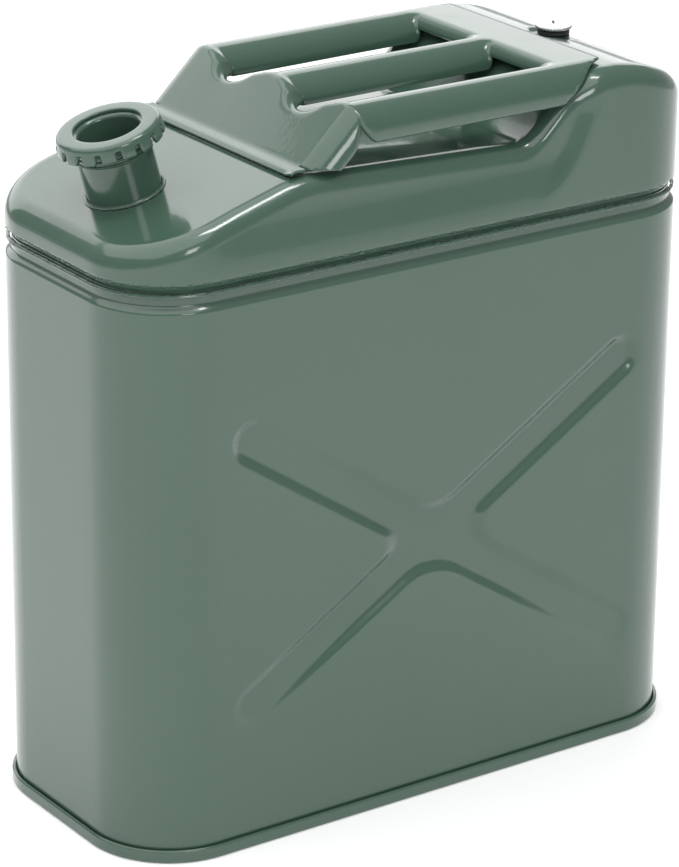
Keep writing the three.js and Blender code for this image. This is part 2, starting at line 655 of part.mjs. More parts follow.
function ventWasher() {
  const bore = VENT_SHANK_RADIUS + CLEARANCE;
  const edge = 0.4;
  return atVent([
    [bore, VENT_WASHER_BOTTOM], [bore, VENT_WASHER_TOP], [VENT_BOSS_RADIUS - edge, VENT_WASHER_TOP],
    [VENT_BOSS_RADIUS, VENT_WASHER_TOP - edge], [VENT_BOSS_RADIUS, VENT_WASHER_BOTTOM + edge],
    [VENT_BOSS_RADIUS - edge, VENT_WASHER_BOTTOM],
  ]);
}

function ventScrew() {
  const edge = 0.5;
  const screw = atVent([
    [0, VENT_SHANK_END], [VENT_SHANK_RADIUS - edge, VENT_SHANK_END],
    [VENT_SHANK_RADIUS, VENT_SHANK_END + edge], [VENT_SHANK_RADIUS, VENT_HEAD_BOTTOM],
    [VENT_HEAD_RADIUS, VENT_HEAD_BOTTOM], [VENT_HEAD_RADIUS, VENT_HEAD_TOP - edge],
    [VENT_HEAD_RADIUS - edge, VENT_HEAD_TOP], [0, VENT_HEAD_TOP],
  ]);
  const { length, width, depth, yaw } = VENT_SLOT;
  const slot = new THREE.BoxGeometry(length, width, 2 * depth);
  slot.translate(length / 2, 0, VENT_HEAD_TOP).rotateZ(yaw);
  return screw.subtract(placed(slot, VENT_FOOT.toArray()));
}

// ---------------------------------------------------------------- assembly
const can = new THREE.Group();
can.add(toNode('base_pan', basePan(), GREEN_PAINT));
can.add(toNode('body_shell', bodyShell(), GREEN_PAINT));
can.add(toNode('wrapper_weld', wrapperWeld(), GREEN_PAINT));
can.add(toNode('belt_weld', beltWeld(), DARK_GREEN_PAINT));
can.add(toNode('top_shell', topShell(), GREEN_PAINT));
can.add(toNode('carrying_handle', handle(), GREEN_PAINT));
can.add(toNode('neck_collar', neckCollar(), GREEN_PAINT));
can.add(toNode('filler_neck', fillerNeck(), GREEN_PAINT));
can.add(toNode('closure_gasket', closureGasket(), RUBBER));
can.add(toNode('closure_cup', closureCup(), DARK_GREEN_PAINT));
can.add(toNode('ring_cap', ringCap(), GREEN_PAINT));
can.add(toNode('vent_boss', ventBoss(), DARK_GREEN_PAINT));
can.add(toNode('vent_washer', ventWasher(), RUBBER));
can.add(toNode('vent_screw', ventScrew(), ZINC));

export default can;
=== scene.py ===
import json
import math

import bmesh
import bpy
import numpy as np
from mathutils import Matrix, Vector, noise


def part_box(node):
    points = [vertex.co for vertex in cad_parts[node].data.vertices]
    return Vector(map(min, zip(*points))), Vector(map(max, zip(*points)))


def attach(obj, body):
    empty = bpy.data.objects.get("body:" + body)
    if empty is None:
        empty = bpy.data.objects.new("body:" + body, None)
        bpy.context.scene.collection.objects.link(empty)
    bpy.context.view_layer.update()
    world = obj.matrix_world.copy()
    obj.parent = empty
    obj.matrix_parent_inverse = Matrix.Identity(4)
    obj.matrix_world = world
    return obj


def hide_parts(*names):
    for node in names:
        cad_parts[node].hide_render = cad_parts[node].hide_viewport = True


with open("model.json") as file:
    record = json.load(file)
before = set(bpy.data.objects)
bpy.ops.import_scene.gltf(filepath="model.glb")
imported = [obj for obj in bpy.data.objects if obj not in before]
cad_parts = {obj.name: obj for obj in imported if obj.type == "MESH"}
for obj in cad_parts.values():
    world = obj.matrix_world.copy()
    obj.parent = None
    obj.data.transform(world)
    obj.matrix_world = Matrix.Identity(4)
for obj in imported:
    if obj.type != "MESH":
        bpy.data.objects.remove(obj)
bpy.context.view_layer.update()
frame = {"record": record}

MM = 0.001
WELD_REACH = 2e-6
SHORTEST_EDGE = 1e-7
UP = np.array([0.0, 0.0, 1.0])


# ---------------- places taken from the frame
def box_mm(node):
    low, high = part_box(node)
    return np.array(low) / MM, np.array(high) / MM


def box_radius(node):
    """Radius of a turned node. All of them stand upright or tilt along X, so it shows across Y."""
    low, high = box_mm(node)
    return (high[1] - low[1]) / 2


JOINTS = {joint["name"]: joint for joint in frame["record"]["behaviour"]["joints"]}
NECK_FOOT = np.array(JOINTS["cap_turn"]["pos_m"]) / MM
NECK_AXIS = np.array(JOINTS["cap_turn"]["axis"])
VENT_FOOT = np.array(JOINTS["vent_turn"]["pos_m"]) / MM

BODY_LOW, BODY_HIGH = box_mm("body_shell")
HALF_LENGTH, HALF_WIDTH, LAP_TOP = BODY_HIGH
PAN_HIGH = box_mm("base_pan")[1]
RIM_PROUD = PAN_HIGH[0] - HALF_LENGTH
PAN_HEIGHT = PAN_HIGH[2]
SKIRT_BOTTOM, BLOCK_TOP = (corner[2] for corner in box_mm("top_shell"))
BEAD_LOW, BEAD_HIGH = box_mm("belt_weld")
HANDLE_LOW, HANDLE_HIGH = box_mm("carrying_handle")
HANDLE_TOP = HANDLE_HIGH[2]
HANDLE_HALF = HANDLE_HIGH[1]
VENT_BOSS_RADIUS = box_radius("vent_boss")

# ---------------- dimensions shared with the CAD
CORNER = 44
SHEET = 1
GAP = 0.3
SHOULDER = 283
BELT_INSET = 3
SKIRT_TOP = 297.5
SLOPE = math.atan2(-NECK_AXIS[0], NECK_AXIS[2])
DECK_CREST_X = -70
DECK_CREST_Z = 336.5
DECK_FALL = 0.04
BLOCK_FOOT_X = 59.5
BLOCK_FOOT_Z = 331.5
REAR_CREASE_X = 123
REAR_SLOPE = math.radians(21.5)
BLOCK_EDGE_RADIUS = 10
SPINE_END = HALF_LENGTH - CORNER


# ---------------- curves
def smooth(value, low, high):
    """0 below low, 1 above high, and an easy S between them."""
    share = np.clip((value - low) / (high - low), 0, 1)
    return share * share * (3 - 2 * share)


def soft_min(a, b, reach):
    """The lower of two heights, rounded over where they are within reach of each other."""
    near = np.maximum(reach - np.abs(a - b), 0) / reach
    return np.minimum(a, b) - near * near * reach / 4


def soft_max(a, b, reach):
    return -soft_min(-a, -b, reach)


def spread(*spans):
    """Positions along a line: each span is (start, end, step), joined end to end."""
    runs = [np.linspace(a, b, max(int(round(abs(b - a) / step)), 1), endpoint=False) for a, b, step in spans]
    return np.concatenate([*runs, [spans[-1][1]]])


# ---------------- meshes
def grid(points, wrap_rows=False, wrap_columns=False, flip=False):
    """One patch: an array of rows x columns x 3 in millimetres, and its quads."""
    index = np.arange(points[..., 0].size).reshape(points.shape[:2])
    if wrap_rows:
        index = np.vstack([index, index[:1]])
    if wrap_columns:
        index = np.hstack([index, index[:, :1]])
    corners = [index[:-1, :-1], index[:-1, 1:], index[1:, 1:], index[1:, :-1]]
    faces = np.stack(corners, axis=-1).reshape(-1, 4)
    return points.reshape(-1, 3) * MM, faces[:, ::-1] if flip else faces


def mesh_from(name, patches, closed):
    """One mesh of all the patches, joined where their points meet."""
    points, faces = zip(*patches)
    starts = np.cumsum([0, *map(len, points)])
    faces = [patch + start for patch, start in zip(faces, starts)]
    mesh = bpy.data.meshes.new(name)
    mesh.from_pydata(np.concatenate(points).tolist(), [], np.concatenate(faces).tolist())
    work = bmesh.new()
    work.from_mesh(mesh)
    bmesh.ops.remove_doubles(work, verts=work.verts, dist=WELD_REACH)
    bmesh.ops.dissolve_degenerate(work, edges=work.edges, dist=SHORTEST_EDGE)
    if closed:
        bmesh.ops.recalc_face_normals(work, faces=work.faces)
    work.to_mesh(mesh)
    work.free()
    return mesh


def piece(name, patches, finish, nodes=(), body="can", thickness=0, bevel=0, closed=True, crease=35):
    """A visible piece with one finish, which rides on a body and stands for CAD nodes."""
    coating, slot = finish
    obj = bpy.data.objects.new(name, mesh_from(name, patches, closed))
    bpy.context.scene.collection.objects.link(obj)
    obj.data.materials.append(coating)
    obj.data.shade_smooth()
    if thickness:
        shell = obj.modifiers.new("sheet", "SOLIDIFY")
        shell.thickness = thickness * MM
        shell.offset = -1
        shell.use_even_offset = False
    if bevel:
        edge = obj.modifiers.new("edge", "BEVEL")
        edge.width = bevel * MM
        edge.segments = 3
        edge.limit_method = "ANGLE"
        edge.angle_limit = math.radians(crease)
        edge.harden_normals = True
    obj.data.set_sharp_from_angle(angle=math.radians(crease))
    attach(obj, body)
    if nodes:
        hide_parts(*nodes)
    return obj


# ---------------- the can's plan, a rounded rectangle
class Plan:
    """Stations round the can: a base point on the inner rectangle and the way out from it.

    side_gap is left free beside each corner, and the ends' stations reach end_half from the middle.
    """

    def __init__(self, side_gap, side_step, end_half, end_step, corner_steps):
        side_xs = spread((-SPINE_END + side_gap, SPINE_END - side_gap, side_step))
        end_ys = spread((-end_half, end_half, end_step))
        self.base, self.out = [], []
        inner_y = HALF_WIDTH - CORNER
        quarter = np.linspace(0, math.pi / 2, corner_steps + 1)
        for turn, (sign_x, sign_y) in enumerate([(1, -1), (1, 1), (-1, 1), (-1, -1)]):
            if sign_x * sign_y < 0:
                self.add([(-sign_y * x, sign_y * inner_y) for x in side_xs], [(0, sign_y)] * len(side_xs))
            else:
                self.add([(sign_x * SPINE_END, sign_x * y) for y in end_ys], [(sign_x, 0)] * len(end_ys))
            angles = quarter + (turn - 1) * math.pi / 2
            corner = [(sign_x * SPINE_END, sign_y * inner_y)] * len(angles)
            self.add(corner, [(math.cos(a), math.sin(a)) for a in angles])
        self.base = np.array(self.base, float)
        self.out = np.array(self.out, float)

    def add(self, base, out):
        self.base += base
        self.out += out

    def at(self, inset):
        return self.base + self.out * (CORNER - np.asarray(inset, float))[..., None]


def drawn_in(points, share):
    """Points moved towards the can's middle line: 0 leaves them, 1 puts them on the line."""
    target = np.stack([np.clip(points[..., 0], -SPINE_END, SPINE_END), np.zeros(points.shape[:-1])], -1)
    return points + (target - points) * share


def with_height(points, heights):
    return np.concatenate([points, np.broadcast_to(heights, points.shape[:-1])[..., None]], -1)


# ---------------- finishes
def material(name, colour, roughness, metallic=0.0, coat=0.0, coat_roughness=0.05):
    made = bpy.data.materials.new(name)
    made.use_nodes = True
    shader = made.node_tree.nodes["Principled BSDF"]
    shader.inputs["Base Color"].default_value = (*colour, 1)
    shader.inputs["Metallic"].default_value = metallic
    shader.inputs["Roughness"].default_value = roughness
    shader.inputs["Coat Weight"].default_value = coat
    shader.inputs["Coat Roughness"].default_value = coat_roughness
    return made


# sockets of Blender's mix node when it mixes colours
MIX_FACTOR, MIX_A, MIX_B, MIX_RESULT = 0, 6, 7, 2
ENAMEL_COAT = 0.5


class Nodes:
    """Short calls for the node trees below."""

    def __init__(self, made):
        self.tree = made.node_tree
        self.shader = self.tree.nodes["Principled BSDF"]
        self.place = self.tree.nodes.new("ShaderNodeTexCoord").outputs["Object"]

    def link(self, output, target):
        self.tree.links.new(output, target)

    def feed(self, value, target):
        """Links a socket to the target, or sets the target to a plain value."""
        if isinstance(value, bpy.types.NodeSocket):
            self.link(value, target)
        else:
            target.default_value = value

    def noise(self, scale, detail=2.0, rough=0.5, stretch=None):
        node = self.tree.nodes.new("ShaderNodeTexNoise")
        node.inputs["Scale"].default_value = scale
        node.inputs["Detail"].default_value = detail
        node.inputs["Roughness"].default_value = rough
        source = self.place
        if stretch:
            mapping = self.tree.nodes.new("ShaderNodeMapping")
            mapping.inputs["Scale"].default_value = stretch
            self.link(self.place, mapping.inputs["Vector"])
            source = mapping.outputs["Vector"]
        self.link(source, node.inputs["Vector"])
        return node.outputs["Fac"]

    def remap(self, source, low, high, to_low, to_high):
        node = self.tree.nodes.new("ShaderNodeMapRange")
        for key, value in (("From Min", low), ("From Max", high), ("To Min", to_low), ("To Max", to_high)):
            node.inputs[key].default_value = value
        self.link(source, node.inputs["Value"])
        return node.outputs["Result"]

    def mix(self, factor, a, b):
        node = self.tree.nodes.new("ShaderNodeMix")
        node.data_type = "RGBA"
        self.feed(factor, node.inputs[MIX_FACTOR])
        for key, colour in ((MIX_A, a), (MIX_B, b)):
            self.feed((*colour, 1) if isinstance(colour, tuple) else colour, node.inputs[key])
        return node.outputs[MIX_RESULT]

    def add(self, a, b):
        node = self.tree.nodes.new("ShaderNodeMath")
        node.operation = "ADD"
        for target, value in zip(node.inputs, (a, b)):
            self.feed(value, target)
        return node.outputs[0]

    def satin(self, scale, low, high):
        """Roughness that drifts between two values."""
        self.link(self.remap(self.noise(scale, 3.0), 0.3, 0.7, low, high), self.shader.inputs["Roughness"])

    def grain(self, scale, detail, strength, distance):
        """A fine bump all over."""
        self.link(self.bump(self.noise(scale, detail), strength, distance), self.shader.inputs["Normal"])

    def bump(self, height, strength, distance, below=None):
        node = self.tree.nodes.new("ShaderNodeBump")
        node.inputs["Strength"].default_value = strength
        node.inputs["Distance"].default_value = distance
        self.link(height, node.inputs["Height"])
        if below:
            self.link(below, node.inputs["Normal"])
        return node.outputs["Normal"]


def enamel(name, deep, pale, roughness, sheet_wave):
    """Gloss enamel over sheet steel: slow colour drift, orange peel, faint waviness, rub marks and dust."""
    made = material(name, deep, roughness=roughness, coat=ENAMEL_COAT, coat_roughness=0.04)
    n = Nodes(made)
    drift = n.noise(9.0, 3.0)
    colour = n.mix(drift, deep, pale)
    grime = n.remap(n.noise(160.0, 6.0, 0.65), 0.58, 0.80, 0.0, 0.16)
    dust = tuple(0.7 * channel + 0.05 for channel in pale)
    n.link(n.mix(grime, colour, dust), n.shader.inputs["Base Color"])
    rub = n.remap(n.noise(40.0, 5.0, 0.6, stretch=(1.0, 1.0, 0.25)), 0.35, 0.75, -0.04, 0.10)
    n.link(n.add(rub, roughness), n.shader.inputs["Roughness"])
    wave = n.bump(n.noise(11.0, 1.0), sheet_wave, 0.0025)
    peel = n.bump(n.noise(420.0, 1.5), 0.05, 0.0006, wave)
    n.link(peel, n.shader.inputs["Normal"])
    n.link(n.bump(n.noise(300.0, 1.0), 0.02, 0.0006, wave), n.shader.inputs["Coat Normal"])
    return made


def rough_enamel(name, deep, pale):
    """Enamel over a weld: the paint breaks up over the bead's ripples."""
    made = material(name, deep, roughness=0.24, coat=ENAMEL_COAT, coat_roughness=0.06)
    n = Nodes(made)
    n.link(n.mix(n.noise(260.0, 4.0), deep, pale), n.shader.inputs["Base Color"])
    n.satin(500.0, 0.16, 0.42)
    n.grain(700.0, 3.0, 0.35, 0.0006)
    return made


def zinc(name):
    """Bright zinc plate with fine turning marks, cloudy passivation and small stains."""
    made = material(name, (0.78, 0.79, 0.80), metallic=1.0, roughness=0.2)
    n = Nodes(made)
    cloud = n.mix(n.noise(350.0, 4.0), (0.42, 0.43, 0.45), (0.56, 0.57, 0.58))
    stain = n.remap(n.noise(900.0, 5.0, 0.7), 0.60, 0.72, 0.0, 0.5)
    n.link(n.mix(stain, cloud, (0.36, 0.35, 0.33)), n.shader.inputs["Base Color"])
    n.satin(600.0, 0.14, 0.34)
    n.grain(1500.0, 2.0, 0.12, 0.0003)
    return made


def rubber(name):
    """Matt nitrile: fine mould grain and a little bloom."""
    made = material(name, (0.018, 0.019, 0.021), roughness=0.55)
    n = Nodes(made)
    bloom = n.mix(n.noise(220.0, 4.0), (0.014, 0.015, 0.017), (0.034, 0.035, 0.036))
    n.link(bloom, n.shader.inputs["Base Color"])
    n.satin(800.0, 0.45, 0.72)
    n.grain(2200.0, 2.0, 0.15, 0.0003)
    return made


def dark_reflection_metal(name):
    """Dark metal for the vent boss: its blue-black colour is a painted dark reflection, put in place of the
    boss's own green paint; satin, with rubbed spots.
    """
    made = material(name, (0.03, 0.035, 0.042), metallic=0.7, roughness=0.38)
    n = Nodes(made)
    rubbed = n.mix(n.noise(320.0, 5.0), (0.020, 0.025, 0.034), (0.060, 0.064, 0.070))
    n.link(rubbed, n.shader.inputs["Base Color"])
    n.satin(700.0, 0.30, 0.50)
    n.grain(1400.0, 3.0, 0.12, 0.0003)
    return made


# each finish is a material and its slot
GREEN = (enamel("green_enamel", (0.047, 0.096, 0.067), (0.058, 0.114, 0.080), 0.16, 0.045), "green_paint")
WELD_GREEN = (rough_enamel("weld_enamel", (0.036, 0.078, 0.054), (0.056, 0.112, 0.078)), "green_paint")
LINING = (enamel("lining_enamel", (0.045, 0.090, 0.064), (0.060, 0.114, 0.082), 0.22, 0.02), "cup_lining")
ZINC = (zinc("zinc_plate"), "zinc_plate")
RUBBER = (rubber("nitrile_rubber"), "seal_rubber")
# the vent boss's blue-black colour is a painted dark reflection
DARK_REFLECTION_METAL = (dark_reflection_metal("boss_painted_dark_reflection"), "dark_metal")


# ---------------- base pan
RIM_ROUND = 0.8


def base_pan():
    """Pressed pan: a flat floor and a double-rolled rim round the foot of the wall."""
    inner = SHEET + GAP
    roll_top = PAN_HEIGHT - 1
    section = [
        (inner + SHEET, RIM_ROUND), (inner + SHEET, PAN_HEIGHT), (inner, PAN_HEIGHT), (inner, SHEET),
        (-GAP, SHEET), (-GAP, roll_top - 0.4), (-RIM_PROUD + RIM_ROUND, roll_top),
        (-RIM_PROUD, roll_top - RIM_ROUND), (-RIM_PROUD, 2.6), (-RIM_PROUD, RIM_ROUND),
        (-RIM_PROUD + RIM_ROUND, 0), (inner + SHEET - RIM_ROUND, 0),
    ]
    plan = Plan(side_gap=9, side_step=9, end_half=24, end_step=8, corner_steps=16)
    rim = np.stack([with_height(plan.at(inset), z) for inset, z in section])
    floor = []
    outward = (0, 0.25, 0.6, 1)
    for height, shares in ((PAN_HEIGHT - SHEET, outward[::-1]), (PAN_HEIGHT, outward)):
        floor += [with_height(drawn_in(plan.at(inner + SHEET / 2), share), height) for share in shares]
    patches = [grid(rim, True, True), grid(np.stack(floor), False, True)]
    piece("base_pan_skin", patches, GREEN, ["base_pan"], bevel=0.35)


# ---------------- body shell with the pressed cross
CROSS_ARMS = [((-106.5, 212.5), (116, 63)), ((-105.5, 75), (115, 211))]
CROSS_CENTRE = (4, 139)
CROSS_HALF = 9.5
CROSS_HUB = (22.8, 14.2)
CROSS_DEPTH = 2.6
CROSS_WALL = 6.4
CROSS_LOW_SHARE = 0.4
CROSS_FADE = (66, 112)
CROSS_FILLET = 9
CROSS_BAND = (56, 228)
CROSS_CORNER_FADE = 8
BELT_STEP = (SHOULDER - 0.6, SHOULDER + 3.2)
LAP_STEP = (SKIRT_BOTTOM - 2 * SHEET, SKIRT_BOTTOM - 2 * SHEET + 1.7)


def cross_depth(x, z):
    """Depth of the pressed cross: two round-ended arms and a wide hub, shallower towards the lower ends."""
    distance = None
    for (x0, z0), (x1, z1) in CROSS_ARMS:
        run, rise = x1 - x0, z1 - z0
        along = np.clip(((x - x0) * run + (z - z0) * rise) / (run * run + rise * rise), 0, 1)
        arm = np.hypot(x - x0 - along * run, z - z0 - along * rise) - CROSS_HALF
        distance = arm if distance is None else soft_min(distance, arm, CROSS_FILLET)
    hub_x, hub_z = CROSS_HUB
    round_hub = np.hypot((x - CROSS_CENTRE[0]) / hub_x, (z - CROSS_CENTRE[1]) / hub_z)
    distance = soft_min(distance, (round_hub - 1) * hub_z, CROSS_FILLET)
    share = CROSS_LOW_SHARE + (1 - CROSS_LOW_SHARE) * smooth(z, *CROSS_FADE)
    return CROSS_DEPTH * share * smooth(-distance, -CROSS_WALL / 2, CROSS_WALL / 2)


def body_inset(height):
    """How far the wall is stepped in: at the belt, and again where it laps under the skirt."""
    return BELT_INSET * smooth(height, *BELT_STEP) + (SHEET + GAP) * smooth(height, *LAP_STEP)


def body_shell():
    """The wrapped wall: pressed cross on both sides, stepped in at the belt and lapped under the skirt."""
    fine = 1.0
    past_lap = 298.5
    band_low, band_high = CROSS_BAND
    plan = Plan(side_gap=2, side_step=fine, end_half=24, end_step=8, corner_steps=24)
    heights = spread((BODY_LOW[2], band_low, 7), (band_low, band_high, fine), (band_high, SHOULDER - 1, 9),
                     (SHOULDER - 1, past_lap, 0.45))
    heights = np.append(heights[heights < LAP_TOP], LAP_TOP)
    x = plan.at(0)[:, 0]
    on_side = np.abs(plan.out[:, 1]) ** CROSS_CORNER_FADE
    rows = []
    for height in heights:
        inset = body_inset(height) + on_side * cross_depth(x, height)
        rows.append(with_height(plan.at(inset), height))
    patches = [grid(np.stack(rows), False, True)]
    piece("body_skin", patches, GREEN, ["body_shell"], thickness=SHEET, closed=False)


# ---------------- weld beads
SPATTER_FLOOR = 0.02


def ripple(place, size, seed):
    return noise.noise(Vector((place[0] / size, place[1] / size, place[2] / size + seed)))


def belt_weld():
    """Lumpy bead between the wall's step and the skirt."""
    plan = Plan(side_gap=1.5, side_step=1.3, end_half=30, end_step=1.5, corner_steps=46)
    radius = (BEAD_HIGH[2] - BEAD_LOW[2]) / math.sqrt(3)
    middle = (BEAD_HIGH[2] + BEAD_LOW[2]) / 2
    centre = plan.at(BELT_INSET - GAP - radius)
    lumps = np.array([ripple((x, y, 0), 2.6, 4.0) for x, y in centre])
    drift = np.array([ripple((x, y, 0), 14.0, 9.0) for x, y in centre])
    reach = radius * (0.80 + 0.24 * lumps)
    rows = []
    for angle in np.linspace(0, math.tau, 10, endpoint=False):
        inset = BELT_INSET - GAP - radius + reach * math.cos(angle)
        rows.append(with_height(plan.at(inset), middle - reach * math.sin(angle) + 0.25 * drift))
    piece("belt_weld_bead", [grid(np.stack(rows), True, True)], WELD_GREEN, ["belt_weld"])


def wrapper_weld():
    """Upright bead that closes the wall at the vent end."""
    low, high = box_mm("wrapper_weld")
    heights = spread((low[2], high[2], 1.1))
    angles = np.linspace(0, math.pi, 7)
    rows = []
    for angle in angles:
        lumps = np.array([ripple((angle, 0, z), 2.2, 1.5) for z in heights])
        proud = (high[0] - low[0]) * math.sin(angle) * (0.75 + 0.3 * lumps)
        across = -high[1] * math.cos(angle) * (0.92 + 0.12 * lumps)
        rows.append(np.stack([low[0] + proud, across, heights], -1))
    bead = np.stack(rows, 1)
    caps = [np.stack([np.repeat(bead[i, :1], len(angles), 0), bead[i]]) for i in (0, -1)]
    back = np.stack([bead[:, 0], bead[:, -1]], 1)
    patches = [grid(bead), grid(back), *(grid(cap) for cap in caps)]
    piece("wrapper_weld_bead", patches, WELD_GREEN, ["wrapper_weld"])


def weld_spatter():
    """Fine flattened drops of spatter along the top of the skirt's bend."""
    plan = Plan(side_gap=1, side_step=1.0, end_half=30, end_step=1.0, corner_steps=60)
    lats = np.linspace(0, math.pi, 5)[:, None]
    longs = np.linspace(0, math.tau, 7)[None, :-1]
    patches = []
    for (x, y), (out_x, out_y) in zip(plan.at(0.05), plan.out):
        chance = ripple((x, y, 0), 1.3, 21.0)
        if chance < SPATTER_FLOOR:
            continue
        size = 0.35 + 0.85 * (chance - SPATTER_FLOOR)
        height = SKIRT_TOP - 0.9 + 1.8 * ripple((x, y, 0), 1.9, 33.0)
        outward = np.array([out_x, out_y, 0])
        along = np.array([-out_y, out_x, 0])
        centre = np.array([x, y, height]) - 0.25 * size * outward
        ball = (np.cos(lats) * np.ones_like(longs))[..., None] * np.array([0, 0, 0.6])
        ball = ball + (np.sin(lats) * np.cos(longs))[..., None] * along * 1.2
        ball = ball + (np.sin(lats) * np.sin(longs))[..., None] * outward * 0.5
        patches.append(grid(centre + size * ball, False, True))
    piece("weld_spatter", patches, WELD_GREEN)


# ---------------- top shell
# The photograph shows a rounder deck edge than the CAD has, which is 6 mm.
DECK_EDGE_RADIUS = 9
EDGE_GROWTH = (BLOCK_FOOT_X - 5, BLOCK_FOOT_X + 35)
SKIRT_BEND = 293.0
DECK_BLEND = 3
BLOCK_FOOT_BLEND = 8
BLOCK_TOP_BLEND = 16
REAR_BLEND = 5
SCOOP_DEPTH = 3
SCOOP_TOP = 326
SCOOP_FRONT = (-165, -110)
SCOOP_REAR_FOOT = 60
SCOOP_REAR_SPREAD = 38
SCOOP_REAR_RISE = 46
SCOOP_REAR_FADE = 15
VENT_SEAT_RADIUS = 12.5
VENT_SEAT_SLOPE = math.radians(9)
VENT_SEAT_EDGE = 1.5
BORE_SEGMENTS = 72
BORE_LENGTH = 60


def top_height(x):
    """Height of the pressed top along the can's middle."""
    front = NECK_FOOT[2] + math.tan(SLOPE) * (x - NECK_FOOT[0])
    level = DECK_CREST_Z - DECK_FALL * (x - DECK_CREST_X)
    block_front = BLOCK_FOOT_Z + (x - BLOCK_FOOT_X)
    rear = BLOCK_TOP - math.tan(REAR_SLOPE) * (x - REAR_CREASE_X)
    deck = soft_min(front, level, DECK_BLEND)
    block = soft_min(soft_max(deck, block_front, BLOCK_FOOT_BLEND), BLOCK_TOP, BLOCK_TOP_BLEND)
    return soft_min(block, rear, REAR_BLEND)


def deck_height(x, y):
    """The top's height with the flat seat pressed round the air vent."""
    away = np.hypot(x - VENT_FOOT[0], y)
    seat = VENT_FOOT[2] - math.tan(VENT_SEAT_SLOPE) * (x - VENT_FOOT[0])
    inside = 1 - smooth(away, VENT_SEAT_RADIUS - VENT_SEAT_EDGE, VENT_SEAT_RADIUS + VENT_SEAT_EDGE)
    height = top_height(x)
    return height + np.minimum(seat - height, 0) * inside


def edge_radius(x):
    growth = smooth(x, *EDGE_GROWTH)
    return DECK_EDGE_RADIUS + (BLOCK_EDGE_RADIUS - DECK_EDGE_RADIUS) * growth


def scoop(x, height):
    """How far the side below the deck leans in."""
    rise = smooth(height, SKIRT_TOP, SCOOP_TOP)
    climb = np.clip((height - SKIRT_TOP) / SCOOP_REAR_RISE, 0, 1)
    rear_edge = SCOOP_REAR_FOOT + SCOOP_REAR_SPREAD * np.sqrt(climb)
    along = smooth(x, *SCOOP_FRONT) * (1 - smooth(x, rear_edge - SCOOP_REAR_FADE, rear_edge))
    return SCOOP_DEPTH * rise * along


def top_shell():
    """The pressed top: skirt, leaning sides, rounded edge, deck, block and rear slope in one sheet."""
    plan = Plan(side_gap=1.5, side_step=1.6, end_half=31, end_step=1.7, corner_steps=30)
    x = plan.at(0)[:, 0]
    rows = []
    bend = [(height, BELT_INSET) for height in (SKIRT_BOTTOM, SKIRT_BOTTOM + 0.9, SKIRT_BEND + 0.4)]
    for height in spread((SKIRT_BEND + 0.8, SKIRT_TOP, 0.4)):
        bend.append((height, BELT_INSET * (1 - smooth(height, SKIRT_BEND, SKIRT_TOP))))
    for height, inset in bend:
        rows.append(with_height(plan.at(inset), height))
    foot = top_height(x) - edge_radius(x)
    for share in np.linspace(0, 1, 24)[1:]:
        height = SKIRT_TOP + (foot - SKIRT_TOP) * share
        rows.append(with_height(plan.at(scoop(x, height)), height))
    for angle in np.linspace(0, math.pi / 2, 12)[1:]:
        point = plan.at(scoop(x, foot) + edge_radius(x) * (1 - math.cos(angle)))
        rise = edge_radius(x) * (1 - math.sin(angle))
        rows.append(with_height(point, deck_height(point[:, 0], point[:, 1]) - rise))
    rim = rows[-1][:, :2]
    for share in np.linspace(0, 1, 46)[1:]:
        point = drawn_in(rim, share)
        rows.append(with_height(point, deck_height(point[:, 0], point[:, 1])))
    skin = piece("top_skin", [grid(np.stack(rows), False, True)], GREEN, ["top_shell"],
                 thickness=SHEET, closed=False)
    bore(skin, NECK_FOOT, NECK_AXIS, box_radius("filler_neck") + GAP)
    bore(skin, VENT_FOOT, UP, VENT_BOSS_RADIUS + GAP)


def bore(target, foot, axis, radius):
    """Cuts a round hole through a skin."""
    mesh = bpy.data.meshes.new("bore_cutter")
    work = bmesh.new()
    bmesh.ops.create_cone(work, cap_ends=True, segments=BORE_SEGMENTS, radius1=radius * MM,
                          radius2=radius * MM, depth=BORE_LENGTH * MM)
    work.to_mesh(mesh)
    work.free()
    turn = Vector(UP).rotation_difference(Vector(axis)).to_matrix().to_4x4()
    cut_away(target, mesh, Matrix.Translation(Vector(foot * MM)) @ turn)


def cut_away(target, cutter_mesh, placing):
    """Takes the cutter's shape out of a piece, and keeps the result as the piece's own mesh."""
    cutter = bpy.data.objects.new("cutter", cutter_mesh)
    bpy.context.scene.collection.objects.link(cutter)
    cutter.matrix_world = placing
    bpy.context.view_layer.update()
    cut = target.modifiers.new("hole", "BOOLEAN")
    cut.operation = "DIFFERENCE"
    cut.solver = "EXACT"
    cut.object = cutter
    keep_modifiers(target)
    bpy.data.objects.remove(cutter)


def keep_modifiers(obj):
    """Replaces the object's mesh by the mesh its modifiers make."""
    graph = bpy.context.evaluated_depsgraph_get()
    shown = obj.evaluated_get(graph)
    made = bpy.data.meshes.new_from_object(shown, preserve_all_data_layers=True, depsgraph=graph)
    obj.modifiers.clear()
    obj.data = made


# ---------------- handle
# One pressing. The profile runs from the foot strip on the deck, up the sloping plate, over a bend and back
# along the bars. Positions on it are (s, y): s is the length along the profile from the top bend, positive
# to the rear.
HANDLE_SHEET = 1.2
PLATE_ANGLE = math.radians(43.9)
PLATE_TOP_X = -43.7
FOOT_FRONT_X = HANDLE_LOW[0]
FOOT_HALF = 65
PLATE_FLANGE = 9.3
BAR_RADIUS = 11.5
BAR_DEPTH = 14.1
CURL_RADIUS = 1.8
CURL_TURN = math.radians(95)
BAR_OFFSET = HANDLE_HALF - BAR_RADIUS
SLOT_FLANGE = 12
BAR_FLARE_SPREAD = 2
BAR_FLARE_END_X = 70
REAR_LIP_X = 79
LIP_RADIUS = 5
LIP_DEPTH = 5.6
SCALLOP_RIM = -14.4
SCALLOP_RADIUS = 3.2
SCALLOP_EASE = math.radians(34)
SLOT_FRONT_S = 5
SCALLOP_FLANGE = 4.6
SCALLOP_SHALLOW = (math.radians(20), math.radians(70))
